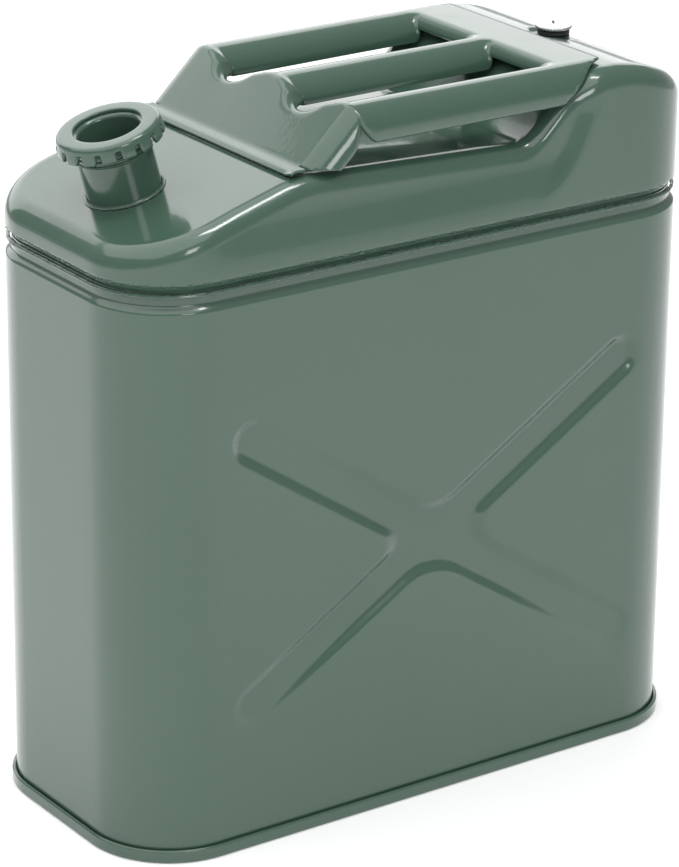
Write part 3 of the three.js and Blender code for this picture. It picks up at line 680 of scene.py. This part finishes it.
# how the slot's columns are shared out over the bend, round the scallop and round the rear corners
BEND_REACH = 8
FAN_TURN = math.radians(50)
PLATE_TURN = math.radians(62)
CORNER_S = 6
CORNER_Y = 5
CORNER_WALL = 1.2
CORNER_SQUARE = 0.35
TOP_BEND = 3.2
FOOT_BEND = 5
FOOT_LIFT = 0.5 * GAP + HANDLE_SHEET
HANDLE_REAR_X = HANDLE_HIGH[0] - 4
BAR_END_S = HANDLE_REAR_X - PLATE_TOP_X
LIP_S = REAR_LIP_X - PLATE_TOP_X
PLATE_BOTTOM_S = -(HANDLE_TOP - DECK_CREST_Z - FOOT_LIFT) / math.sin(PLATE_ANGLE)
FOOT_S = PLATE_BOTTOM_S + (FOOT_FRONT_X - PLATE_TOP_X) - PLATE_BOTTOM_S * math.cos(PLATE_ANGLE)
NOTCH_S = -0.4
NOTCH_DEPTH = 2.1
NOTCH_REACH = 9.0
NOTCH_FRONT_REACH = 14.6
FOOT_OVERHANG = 2
FOOT_CURL = 1.3
FOOT_DIP = 0.85
SAME = 1e-6


def profile_table():
    """The profile's x, z and slope angle at even steps of s, with every bend rounded."""
    step = 0.05
    s = np.arange(BAR_END_S + 2, FOOT_S - 2, -step)
    x_guess = PLATE_TOP_X + PLATE_BOTTOM_S * math.cos(PLATE_ANGLE) + (s - PLATE_BOTTOM_S)
    deck_slope = np.arctan(top_height(x_guess + 0.5) - top_height(x_guess - 0.5))
    over_top = np.clip(0.5 - s / TOP_BEND, 0, 1)
    over_foot = np.clip(0.5 - (s - PLATE_BOTTOM_S) / FOOT_BEND, 0, 1)
    angle = PLATE_ANGLE * over_top + (deck_slope - PLATE_ANGLE) * over_foot
    x = PLATE_TOP_X + s[0] - np.concatenate([[0], np.cumsum(np.cos(angle[:-1]) * step)])
    z = HANDLE_TOP - np.concatenate([[0], np.cumsum(np.sin(angle[:-1]) * step)])
    return s[::-1], x[::-1], z[::-1], angle[::-1]


PROFILE = profile_table()


def on_profile(s):
    """Point and slope angle of the profile at s."""
    table_s, table_x, table_z, table_angle = PROFILE
    return np.interp(s, table_s, table_x), np.interp(s, table_s, table_z), np.interp(s, table_s, table_angle)


def flare(s):
    """1 at the bend, where the slots are narrowest, and 0 where the bars reach their own width."""
    return 1 - smooth(s, 0, BAR_FLARE_END_X - PLATE_TOP_X)


def press(s, y, move_s, move_y, down, lean):
    """The point (s, y) on the sheet moved along it and down from it; lean is the way down's slope angle."""
    x, z, angle = on_profile(s)
    x = x + move_s * np.cos(angle) + down * np.sin(lean)
    z = z + move_s * np.sin(angle) - down * np.cos(lean)
    return np.stack(np.broadcast_arrays(x, y + move_y, z), -1)


def bar_lean(s):
    """Slope angle of the way down, easing from the plate's to upright over the bend."""
    return PLATE_ANGLE * (1 - smooth(s, -BEND_REACH, BEND_REACH))


def slot_loops():
    """Crest, wall and outer loops round the slot of the +Y half, and each column's flange sizes.

    The columns run forward along the outer bar, round the plate's scallop, back along the middle bar and
    round the rear end. The crest is where the sheet turns down, and the wall is the slot's opening.
    """
    corner_s = LIP_S - CORNER_S
    crest_s = LIP_S + LIP_RADIUS
    middle = BAR_OFFSET / 2
    half = middle - BAR_RADIUS
    crest, wall, outer, sizes = [], [], [], []

    def column(c, w, o, depth, radius):
        crest.append(c)
        wall.append(w)
        outer.append(o)
        sizes.append((depth, radius))

    def bar_column(s, side):
        reach = half - BAR_FLARE_SPREAD * flare(s)
        y = middle + side * middle
        column((s, y), (s, middle + side * reach), (s, y), SLOT_FLANGE, BAR_RADIUS)

    def fan_foot(angle, turn):
        """The outer point of a scallop column: along the bar, then down the plate's side, then its foot."""
        y = BAR_OFFSET if angle < math.pi / 2 else 0
        if turn < FAN_TURN:
            return SLOT_FRONT_S - (SLOT_FRONT_S + BEND_REACH) * turn / FAN_TURN, y
        if turn < PLATE_TURN:
            share = (turn - FAN_TURN) / (PLATE_TURN - FAN_TURN)
            return -BEND_REACH + (PLATE_BOTTOM_S + BEND_REACH) * share, y
        return PLATE_BOTTOM_S, BAR_OFFSET * (1 - (angle - PLATE_TURN) / (math.pi - 2 * PLATE_TURN))

    def scallop_column(angle):
        fall, side = math.sin(angle), math.cos(angle)
        turn = min(angle, math.pi - angle)
        ease = smooth(turn, 0, SCALLOP_EASE)
        reach = half - BAR_FLARE_SPREAD
        edge_s = SCALLOP_RIM + SCALLOP_RADIUS
        w = (SLOT_FRONT_S - (SLOT_FRONT_S - edge_s) * fall, middle + reach * side)
        rim = middle - reach + (SCALLOP_RADIUS - middle + reach) * ease
        c = (w[0] - rim * fall, w[1] + rim * side)
        depth = SLOT_FLANGE + (SCALLOP_FLANGE - SLOT_FLANGE) * smooth(turn, *SCALLOP_SHALLOW)
        radius = BAR_RADIUS + (SCALLOP_RADIUS - BAR_RADIUS) * ease
        column(c, w, fan_foot(angle, turn), depth, radius)

    def corner_column(angle, side):
        """A column round a rear corner; side is -1 beside the middle bar and 1 beside the outer bar."""
        fall, across = math.sin(angle), math.cos(angle)
        share = angle / (math.pi / 2)
        inward = CORNER_WALL * (1 - across ** CORNER_SQUARE)
        c = (corner_s + (crest_s - corner_s) * fall, middle + side * (middle - CORNER_Y * (1 - across)))
        w = (corner_s + CORNER_S * fall ** CORNER_SQUARE, middle + side * (half - inward))
        o = (corner_s + (BAR_END_S - corner_s) * min(2 * share, 1),
             middle + side * (middle - CORNER_Y * max(2 * share - 1, 0)))
        ease = smooth(angle, 0, math.pi / 2)
        depth = SLOT_FLANGE + (LIP_DEPTH - SLOT_FLANGE) * ease
        column(c, w, o, depth, BAR_RADIUS + (LIP_RADIUS - BAR_RADIUS) * ease)

    long_s = spread((SLOT_FRONT_S, corner_s - 10, 2.2), (corner_s - 10, corner_s, 0.8))
    quarter = np.linspace(0, math.pi / 2, 15)[1:-1]
    for s in long_s[::-1]:
        bar_column(s, 1)
    for angle in np.linspace(0, math.pi, 181)[1:-1]:
        scallop_column(angle)
    for s in long_s:
        bar_column(s, -1)
    for angle in quarter:
        corner_column(angle, -1)
    for y in np.linspace(CORNER_Y, BAR_OFFSET - CORNER_Y, 26)[1:-1]:
        share = (y - CORNER_Y) / (BAR_OFFSET - 2 * CORNER_Y)
        w = (LIP_S, middle + (half - CORNER_WALL) * (2 * share - 1))
        column((crest_s, y), w, (BAR_END_S, y), LIP_DEPTH, LIP_RADIUS)
    for angle in quarter[::-1]:
        corner_column(angle, 1)
    return np.array(crest), np.array(wall), np.array(outer), np.array(sizes)


def slot_half():
    """The sheet of the +Y half round its slot: the flange down into the slot, and the land outside it."""
    crest, wall, outer, sizes = slot_loops()
    depth, radius = sizes.T
    lean = bar_lean(crest[:, 0])
    rows = []
    for share in (1, 0.66, 0.33):
        down = radius + (depth - radius).clip(0) * share
        rows.append(press(crest[:, 0], crest[:, 1], *(wall - crest).T, down, lean))
    for angle in np.linspace(math.pi / 2, 0, 15):
        across = (wall - crest) * math.sin(angle)
        down = np.minimum(radius, depth) * (1 - math.cos(angle))
        rows.append(press(crest[:, 0], crest[:, 1], *across.T, down, lean))
    for share in np.linspace(0, 1, 13)[1:]:
        land = crest + (outer - crest) * share
        x, z, _ = on_profile(land[:, 0])
        rows.append(np.stack([x, land[:, 1], z], -1))
    return np.stack(rows), outer


def block_clear(x, y):
    """Height of the top shell at (x, y), with the rounded edge, as a floor for the handle's rolled edge."""
    radius = edge_radius(x)
    over = np.maximum(np.abs(y) - (HALF_WIDTH - radius), 0)
    return top_height(x) - radius + np.sqrt(np.maximum(radius ** 2 - over ** 2, 0)) + GAP + HANDLE_SHEET


def outer_edge(columns):
    """The rolled outer edge of the +Y half, notched at the bend and ended where it meets the block."""
    s = np.sort(np.unique(np.round(columns, 5)))[::-1]
    flange = np.where(s > 0, BAR_DEPTH, PLATE_FLANGE)
    behind = s > NOTCH_S
    fade = np.abs(s - NOTCH_S) / np.where(behind, NOTCH_REACH, NOTCH_FRONT_REACH)
    notch = NOTCH_DEPTH + fade * (np.where(behind, BAR_DEPTH, PLATE_FLANGE) - NOTCH_DEPTH)
    depth = np.minimum(flange, notch)
    arc_end = np.arccos(1 - depth / BAR_RADIUS)
    lean = np.where(s > TOP_BEND, 0, bar_lean(s * 6))
    block_x = np.linspace(BLOCK_FOOT_X, HANDLE_REAR_X, 400)
    rows = []
    curl = np.minimum(CURL_RADIUS, 0.25 * depth)
    turns = [(BAR_RADIUS, arc_end * share) for share in np.linspace(0, 1, 20)]
    turns += [(curl, arc_end + CURL_TURN * share) for share in np.linspace(0, 1, 9)[1:]]
    for radius, angle in turns:
        across = (BAR_RADIUS - radius) * np.sin(arc_end) + radius * np.sin(angle)
        down = BAR_RADIUS - (BAR_RADIUS - radius) * np.cos(arc_end) - radius * np.cos(angle)
        blocked = block_clear(block_x, BAR_OFFSET + across[0]) > HANDLE_TOP - down[0]
        end_s = (block_x[np.argmax(blocked)] if blocked.any() else HANDLE_REAR_X) - PLATE_TOP_X
        start_s = PLATE_BOTTOM_S + down / math.tan(PLATE_ANGLE)
        held = np.minimum(np.maximum(s, start_s), end_s)
        rows.append(press(held, BAR_OFFSET + across, 0, 0, down, lean))
    return np.stack(rows)


def foot_strip(plate_y):
    """Strip that runs on from the plate's foot, welded to the deck, with its outer corners curled up."""
    s = spread((FOOT_S, PLATE_BOTTOM_S, 0.5))
    edge = FOOT_HALF + FOOT_OVERHANG
    beyond = spread((BAR_OFFSET, edge, 0.8))[1:]
    y = np.sort(np.concatenate([-beyond, -plate_y, plate_y[plate_y > 0], beyond]))
    rows = []
    for at in s:
        x, z, _ = on_profile(at)
        curl = FOOT_CURL * smooth(np.abs(y), FOOT_HALF - 4, edge) * smooth(-at, -FOOT_S - 9, -FOOT_S)
        dip = FOOT_DIP * (1 - smooth(at, FOOT_S, FOOT_S + 2.5))
        rows.append(np.stack(np.broadcast_arrays(x, y, z + curl - dip), -1))
    return np.stack(rows)


def mirrored(points):
    return points * np.array([1, -1, 1])


def carrying_handle():
    """The pressing: both halves round their slots, both rolled edges, and the foot strip."""
    half, outer = slot_half()
    plate_y = outer[np.abs(outer[:, 0] - PLATE_BOTTOM_S) < SAME][:, 1]
    edge = outer_edge(outer[np.abs(outer[:, 1] - BAR_OFFSET) < SAME][:, 0])
    patches = [
        grid(half, False, True), grid(mirrored(half), False, True, flip=True),
        grid(edge), grid(mirrored(edge), flip=True),
        grid(foot_strip(plate_y)),
    ]
    piece("handle_pressing", patches, GREEN, ["carrying_handle"],
          thickness=HANDLE_SHEET, closed=False, crease=50)


# ---------------- turned parts
def turned(profile, foot, axis, steps=96, shape=None, closed=True):
    """A profile of (radius, height) points turned about an axis; shape(radius, height, angle) may bend it."""
    angles = np.linspace(0, math.tau, steps, endpoint=False)
    turn = Vector(UP).rotation_difference(Vector(axis)).to_matrix()
    rows = []
    for radius, height in profile:
        r, h = (radius, height) if shape is None else shape(radius, height, angles)
        local = np.stack(np.broadcast_arrays(r * np.cos(angles), r * np.sin(angles), h), -1)
        rows.append(local @ np.array(turn).T + foot)
    return grid(np.stack(rows), closed, True)


def arc(centre_r, centre_h, radius, start, end, steps):
    """Points on a round stretch of a turned profile; angles in degrees."""
    angles = np.radians(np.linspace(start, end, steps))
    return [(centre_r + radius * math.cos(a), centre_h + radius * math.sin(a)) for a in angles]


NECK_RADIUS = box_radius("neck_collar") - 1.9
NECK_LIP = 0.5
NECK_BORE = 16.8
NECK_HEIGHT = 30
NECK_BURIED = 5
THREAD_PITCH = 2.4
THREAD_DEPTH = 0.7
THREAD_TOP = NECK_HEIGHT - 1.2
THREAD_BOTTOM = NECK_HEIGHT - 9.2
COLLAR_HEIGHT = 1.7
GASKET_BOTTOM = NECK_HEIGHT + GAP
GASKET_THICKNESS = 1.5
CUP_RADIUS = 15.8
CUP_SEAT = GASKET_BOTTOM + GASKET_THICKNESS + GAP
CUP_DEPTH = 38
CAP_UNDER = CUP_SEAT + SHEET + GAP
CAP_PLATE = 1.6
CAP_TOP = CAP_UNDER + CAP_PLATE
CAP_BOTTOM = CAP_TOP - 8.6
CAP_HOLE = 16.75
CAP_RADIUS = 25.4
CAP_SLEEVE = 1.2
CAP_TABS = 16
CAP_LIP = 0.7
CAP_SHOULDER = 2.2


def neck_thread(radius, height, angles):
    """Raises one running thread on the neck's outer face, faded out at both ends."""
    if radius < NECK_RADIUS - 0.01:
        return radius, height
    phase = (height - THREAD_TOP) / THREAD_PITCH - angles / math.tau
    crest = np.clip(1.6 - np.abs((phase % 1) - 0.5) * 4.4, 0, 1)
    fade = smooth(height, THREAD_BOTTOM, THREAD_BOTTOM + 1.5)
    fade = fade * (1 - smooth(height, THREAD_TOP - 0.9, THREAD_TOP))
    return radius + THREAD_DEPTH * crest * fade, height


def filler_neck():
    lip = NECK_HEIGHT - NECK_LIP
    below_thread = THREAD_BOTTOM - 0.5
    profile = [(NECK_BORE, -NECK_BURIED), (NECK_BORE, 12), (NECK_BORE, lip)]
    profile += arc(NECK_BORE + NECK_LIP, lip, NECK_LIP, 180, 90, 4)
    profile += arc(NECK_RADIUS - NECK_LIP, lip, NECK_LIP, 90, 10, 4)
    profile += [(NECK_RADIUS, h) for h in spread((lip, below_thread, 0.2), (below_thread, -NECK_BURIED, 3))]
    patch = turned(profile, NECK_FOOT, NECK_AXIS, 144, neck_thread)
    piece("neck_tube", [patch], GREEN, ["filler_neck"], bevel=0.15)


def neck_collar():
    """Fillet weld round the neck's foot, with a slightly uneven toe."""
    inner = NECK_RADIUS + GAP
    reach = box_radius("neck_collar") - inner

    def uneven(radius, height, angles):
        lumps = np.array([ripple((20 * math.cos(a), 20 * math.sin(a), height), 2.4, 7.0) for a in angles])
        outward = (radius - inner) * (0.88 + 0.2 * lumps)
        return inner + outward, GAP + (height - GAP) * (0.92 + 0.14 * lumps)

    profile = [(inner, GAP), (inner, COLLAR_HEIGHT)]
    profile += arc(inner + reach, COLLAR_HEIGHT, min(reach, COLLAR_HEIGHT - GAP), 180, 270, 7)[1:-1]
    profile += [(inner + reach, GAP + 0.2), (inner + reach, GAP)]
    patch = turned(profile, NECK_FOOT, NECK_AXIS, 180, uneven)
    piece("neck_weld", [patch], WELD_GREEN, ["neck_collar"], crease=50)


def closure_gasket():
    inner = CUP_RADIUS + GAP
    top = GASKET_BOTTOM + GASKET_THICKNESS
    edge = 0.3
    profile = [(inner, GASKET_BOTTOM + edge), (inner, top - edge)]
    profile += [(inner + edge, top), (NECK_RADIUS - edge, top)]
    profile += arc(NECK_RADIUS - 0.75, (GASKET_BOTTOM + top) / 2, 0.75, 80, -80, 7)
    profile += [(NECK_RADIUS - 0.9, GASKET_BOTTOM), (inner + edge, GASKET_BOTTOM)]
    patch = turned(profile, NECK_FOOT, NECK_AXIS)
    piece("gasket_ring", [patch], RUBBER, ["closure_gasket"], "closure", bevel=0.1)


def closure_cup():
    """Drawn cup that hangs in the neck by its flange."""
    floor = CUP_SEAT - CUP_DEPTH
    inner = CUP_RADIUS - SHEET
    outside = [(0, floor), (6, floor), (CUP_RADIUS - 2, floor), *arc(CUP_RADIUS - 2, floor + 2, 2, -80, 0, 6)]
    outside += [(CUP_RADIUS, CUP_SEAT - 9), (CUP_RADIUS, CUP_SEAT), (NECK_RADIUS, CUP_SEAT)]
    inside = [(NECK_RADIUS, CUP_SEAT + SHEET), *arc(inner + 2.2, CUP_SEAT - 1.2, 2.2, 90, 180, 9)]
    inside += [(inner, floor + 12), *arc(inner - 2, floor + 3, 2, 0, -90, 6)]
    inside += [(6, floor + SHEET), (0, floor + SHEET)]
    patch = turned(outside + inside, NECK_FOOT, NECK_AXIS, closed=False)
    piece("closure_cup_skin", [patch], LINING, ["closure_cup"], "closure", bevel=0.15)


def ring_cap():
    """Pressed ring with a plain sleeve and sixteen tabs bent down round its edge."""
    sleeve = NECK_RADIUS + THREAD_DEPTH + GAP
    sleeve_out = sleeve + CAP_SLEEVE
    tab_out = CAP_RADIUS + 0.8
    tab_in = tab_out - 2.4
    gap_in = CAP_RADIUS - 1.3
    gap_top = CAP_TOP - 3.9

    def lobe(angles):
        """1 across a tab and 0 in the gap beside it."""
        place = np.abs(((angles / math.tau * CAP_TABS) % 1) - 0.5)
        return 1 - smooth(place, 0.30, 0.44)

    def shaped(radius, height, angles):
        if height >= CAP_TOP - CAP_LIP or radius < sleeve_out + 0.05:
            return radius, height
        tab = lobe(angles)
        cut = (1 - tab) * (1 - smooth(height, gap_top - 0.7, gap_top + 1.3))
        out = np.minimum(radius, radius - (radius - gap_in) * cut)
        lifted = gap_top + (height - gap_top) * tab if height < gap_top else height
        return out, lifted

    profile = arc(CAP_HOLE + CAP_LIP, CAP_TOP - CAP_LIP, CAP_LIP, 180, 90, 5)
    profile += [(CAP_HOLE + 2.4, CAP_TOP), (CAP_RADIUS - 4.4, CAP_TOP - 0.05)]
    profile += arc(CAP_RADIUS - CAP_SHOULDER, CAP_TOP - CAP_SHOULDER, CAP_SHOULDER, 84, 14, 8)
    profile += [(CAP_RADIUS + 0.1 + 0.09 * drop, CAP_TOP - 2.4 - 0.4 * drop) for drop in range(7)]
    profile += [(tab_out, CAP_BOTTOM + 1.6)]
    profile += arc((tab_out + tab_in) / 2, CAP_BOTTOM + 1.2, 1.2, 0, -180, 9)
    profile += [(tab_in, CAP_BOTTOM + 3), (tab_in - 0.1, CAP_UNDER), (sleeve_out + 0.6, CAP_UNDER)]
    profile += [(sleeve_out, CAP_UNDER - 0.6), (sleeve_out, CAP_BOTTOM + 1.3)]
    profile += [(sleeve_out - 0.3, CAP_BOTTOM + 1), (sleeve, CAP_BOTTOM + 1), (sleeve, CAP_UNDER)]
    profile += [(CAP_HOLE, CAP_UNDER)]
    patch = turned(profile, NECK_FOOT, NECK_AXIS, CAP_TABS * 24, shaped)
    piece("ring_cap_skin", [patch], GREEN, ["ring_cap"], "cap", crease=60)


# ---------------- air vent
BOSS_TOP = 1.7
BOSS_BURIED = 7
WASHER_BOTTOM = BOSS_TOP + GAP
WASHER_TOP = WASHER_BOTTOM + 2.6
HEAD_BOTTOM = WASHER_TOP + GAP
HEAD_TOP = HEAD_BOTTOM + 1.7
HEAD_RADIUS = box_radius("vent_screw")
SHANK_RADIUS = 3
SHANK_END = -6
SCREW_SLOT = (7, 1.2, 0.8)
SCREW_SLOT_YAW = math.radians(55)
SCREW_PITCH = 0.8
KNURLS = 60


def vent_boss():
    bore_radius = SHANK_RADIUS + GAP
    profile = [(bore_radius, -BOSS_BURIED), (bore_radius, BOSS_TOP), (VENT_BOSS_RADIUS - 0.4, BOSS_TOP)]
    profile += [(VENT_BOSS_RADIUS, BOSS_TOP - 0.4), (VENT_BOSS_RADIUS, -BOSS_BURIED)]
    # blue-black finish: a painted dark reflection on the boss
    piece("vent_boss_ring", [turned(profile, VENT_FOOT, UP)], DARK_REFLECTION_METAL, ["vent_boss"], bevel=0.12)


def vent_washer():
    bore_radius = SHANK_RADIUS + GAP
    middle = (WASHER_BOTTOM + WASHER_TOP) / 2
    half = (WASHER_TOP - WASHER_BOTTOM) / 2
    shoulder = VENT_BOSS_RADIUS - 0.9
    profile = [(bore_radius, WASHER_BOTTOM), (bore_radius, WASHER_TOP), (shoulder, WASHER_TOP)]
    profile += [*arc(shoulder, middle, half, 60, -60, 9), (shoulder, WASHER_BOTTOM)]
    profile = [(min(r, VENT_BOSS_RADIUS), h) for r, h in profile]
    patch = turned(profile, VENT_FOOT, UP)
    piece("vent_washer_ring", [patch], RUBBER, ["vent_washer"], "vent_seal", crease=50)


def vent_screw():
    """Slotted thumb screw: knurled edge, slightly domed head and a threaded shank."""
    def shaped(radius, height, angles):
        if radius > HEAD_RADIUS - 0.05:
            return radius - 0.22 * np.abs(np.sin(angles * KNURLS / 2)), height
        if SHANK_RADIUS - 0.3 < radius < SHANK_RADIUS + 0.05 and height < HEAD_BOTTOM - 0.5:
            phase = height / SCREW_PITCH - angles / math.tau
            return radius - 0.35 * np.abs((phase % 1) * 2 - 1), height
        return radius, height

    shank = [(SHANK_RADIUS, h) for h in spread((SHANK_END + 0.5, HEAD_BOTTOM, 0.13))]
    profile = [(0, SHANK_END), (SHANK_RADIUS - 0.6, SHANK_END), *shank, (HEAD_RADIUS - 0.5, HEAD_BOTTOM)]
    profile += [(HEAD_RADIUS, HEAD_BOTTOM + 0.35), (HEAD_RADIUS, HEAD_TOP - 0.6)]
    profile += [(HEAD_RADIUS - 0.35, HEAD_TOP - 0.25), (HEAD_RADIUS - 1.2, HEAD_TOP - 0.1)]
    profile += [(4, HEAD_TOP), (0, HEAD_TOP)]
    patch = turned(profile, VENT_FOOT, UP, 240, shaped, closed=False)
    screw = piece("vent_screw_body", [patch], ZINC, ["vent_screw"], "vent_turner", crease=30)
    length, width, depth = SCREW_SLOT
    work = bmesh.new()
    bmesh.ops.create_cube(work, size=1)
    bmesh.ops.scale(work, verts=work.verts, vec=(length * MM, width * MM, 2 * depth * MM))
    bmesh.ops.translate(work, verts=work.verts, vec=(length / 2 * MM, 0, HEAD_TOP * MM))
    mesh = bpy.data.meshes.new("slot_cutter")
    work.to_mesh(mesh)
    work.free()
    placing = Matrix.Translation(Vector(VENT_FOOT * MM)) @ Matrix.Rotation(SCREW_SLOT_YAW, 4, "Z")
    cut_away(screw, mesh, placing)


# ---------------- studio
FLOOR_HALF = 2.4
CAMERA_AZIMUTH = math.radians(-35.15)
CAMERA_ELEVATION = math.radians(21.23)
CAMERA_ROLL = math.radians(0.61)
CAMERA_DISTANCE = 1.9261
CAMERA_TARGET = Vector((-0.00219, 0.00154, 0.16982))
CAMERA_LENS = 157.85
SENSOR = 36
# name, place, aim, size and power
SOFTBOXES = [
    ("overhead_box", (-1.3, 0.2, 2.4), (-1.3, 0.2, 0), (3.6, 4.4), 72),
    ("edge_box", (0.36, -0.4, 2.4), (0, 0, 0.33), (0.28, 0.9), 11),
    ("back_box", (0.95, 2.8, 1.5), (0, 0, 0.4), (4.6, 2.2), 50),
    ("front_box", (-0.5, -3.2, 1.6), (0, 0, 0.2), (0.9, 1.1), 20),
]
# height of the view's direction and grey level of the room there
ROOM = [(0.0, 0.50), (0.08, 0.30), (1.0, 0.46)]


def plain(name, colour, roughness, glow):
    """A flat finish for the floor, with a faint glow of its own so that it stays pale."""
    made = material(name, colour, roughness)
    shader = made.node_tree.nodes["Principled BSDF"]
    shader.inputs["Specular IOR Level"].default_value = 0.2
    shader.inputs["Emission Color"].default_value = (1, 1, 1, 1)
    shader.inputs["Emission Strength"].default_value = glow
    return made


def studio_floor():
    work = bmesh.new()
    bmesh.ops.create_grid(work, x_segments=8, y_segments=8, size=FLOOR_HALF)
    mesh = bpy.data.meshes.new("floor")
    work.to_mesh(mesh)
    work.free()
    floor = bpy.data.objects.new("floor", mesh)
    bpy.context.scene.collection.objects.link(floor)
    mesh.materials.append(plain("pale_floor", (0.93, 0.93, 0.93), 0.9, 0.2))


def softbox(name, place, aim, size, power):
    data = bpy.data.lights.new(name, "AREA")
    data.shape = "RECTANGLE"
    data.size, data.size_y = size
    data.energy = power
    light = bpy.data.objects.new(name, data)
    bpy.context.scene.collection.objects.link(light)
    light.location = Vector(place)
    light.rotation_mode = "QUATERNION"
    light.rotation_quaternion = (Vector(aim) - Vector(place)).to_track_quat("-Z", "Y")


def studio_world():
    """A grey room: pale at the horizon and below it, dim just above it, and paler again overhead."""
    world = bpy.data.worlds.new("studio")
    bpy.context.scene.world = world
    world.use_nodes = True
    tree = world.node_tree
    shade = tree.nodes["Background"]
    place = tree.nodes.new("ShaderNodeTexCoord")
    split = tree.nodes.new("ShaderNodeSeparateXYZ")
    tree.links.new(place.outputs["Generated"], split.inputs[0])
    ramp = tree.nodes.new("ShaderNodeValToRGB")
    for i, (at, level) in enumerate(ROOM):
        stop = ramp.color_ramp.elements[i] if i < 2 else ramp.color_ramp.elements.new(at)
        stop.position = at
        stop.color = (level, level, level * 1.02, 1)
    tree.links.new(split.outputs["Z"], ramp.inputs["Fac"])
    tree.links.new(ramp.outputs["Color"], shade.inputs["Color"])
    shade.inputs["Strength"].default_value = 1.0


def studio_camera():
    """The photograph's view: a long lens, a little above and to the left of the can."""
    a, e = CAMERA_AZIMUTH, CAMERA_ELEVATION
    back = Vector((math.sin(a) * math.cos(e), -math.cos(a) * math.cos(e), math.sin(e)))
    level = Vector((math.cos(a), math.sin(a), 0))
    above = back.cross(level)
    right = level * math.cos(CAMERA_ROLL) + above * math.sin(CAMERA_ROLL)
    up = above * math.cos(CAMERA_ROLL) - level * math.sin(CAMERA_ROLL)
    data = bpy.data.cameras.new("camera")
    data.lens = CAMERA_LENS
    data.sensor_width = SENSOR
    data.clip_start = 0.05
    data.clip_end = 60
    camera = bpy.data.objects.new("camera", data)
    bpy.context.scene.collection.objects.link(camera)
    turn = Matrix((right, up, back)).transposed().to_4x4()
    camera.matrix_world = Matrix.Translation(CAMERA_TARGET + back * CAMERA_DISTANCE) @ turn
    bpy.context.scene.camera = camera


base_pan()
body_shell()
belt_weld()
wrapper_weld()
weld_spatter()
top_shell()
carrying_handle()
filler_neck()
neck_collar()
closure_gasket()
closure_cup()
ring_cap()
vent_boss()
vent_washer()
vent_screw()

studio_floor()
studio_world()
for box in SOFTBOXES:
    softbox(*box)
studio_camera()
bpy.context.scene.view_settings.view_transform = "Standard"
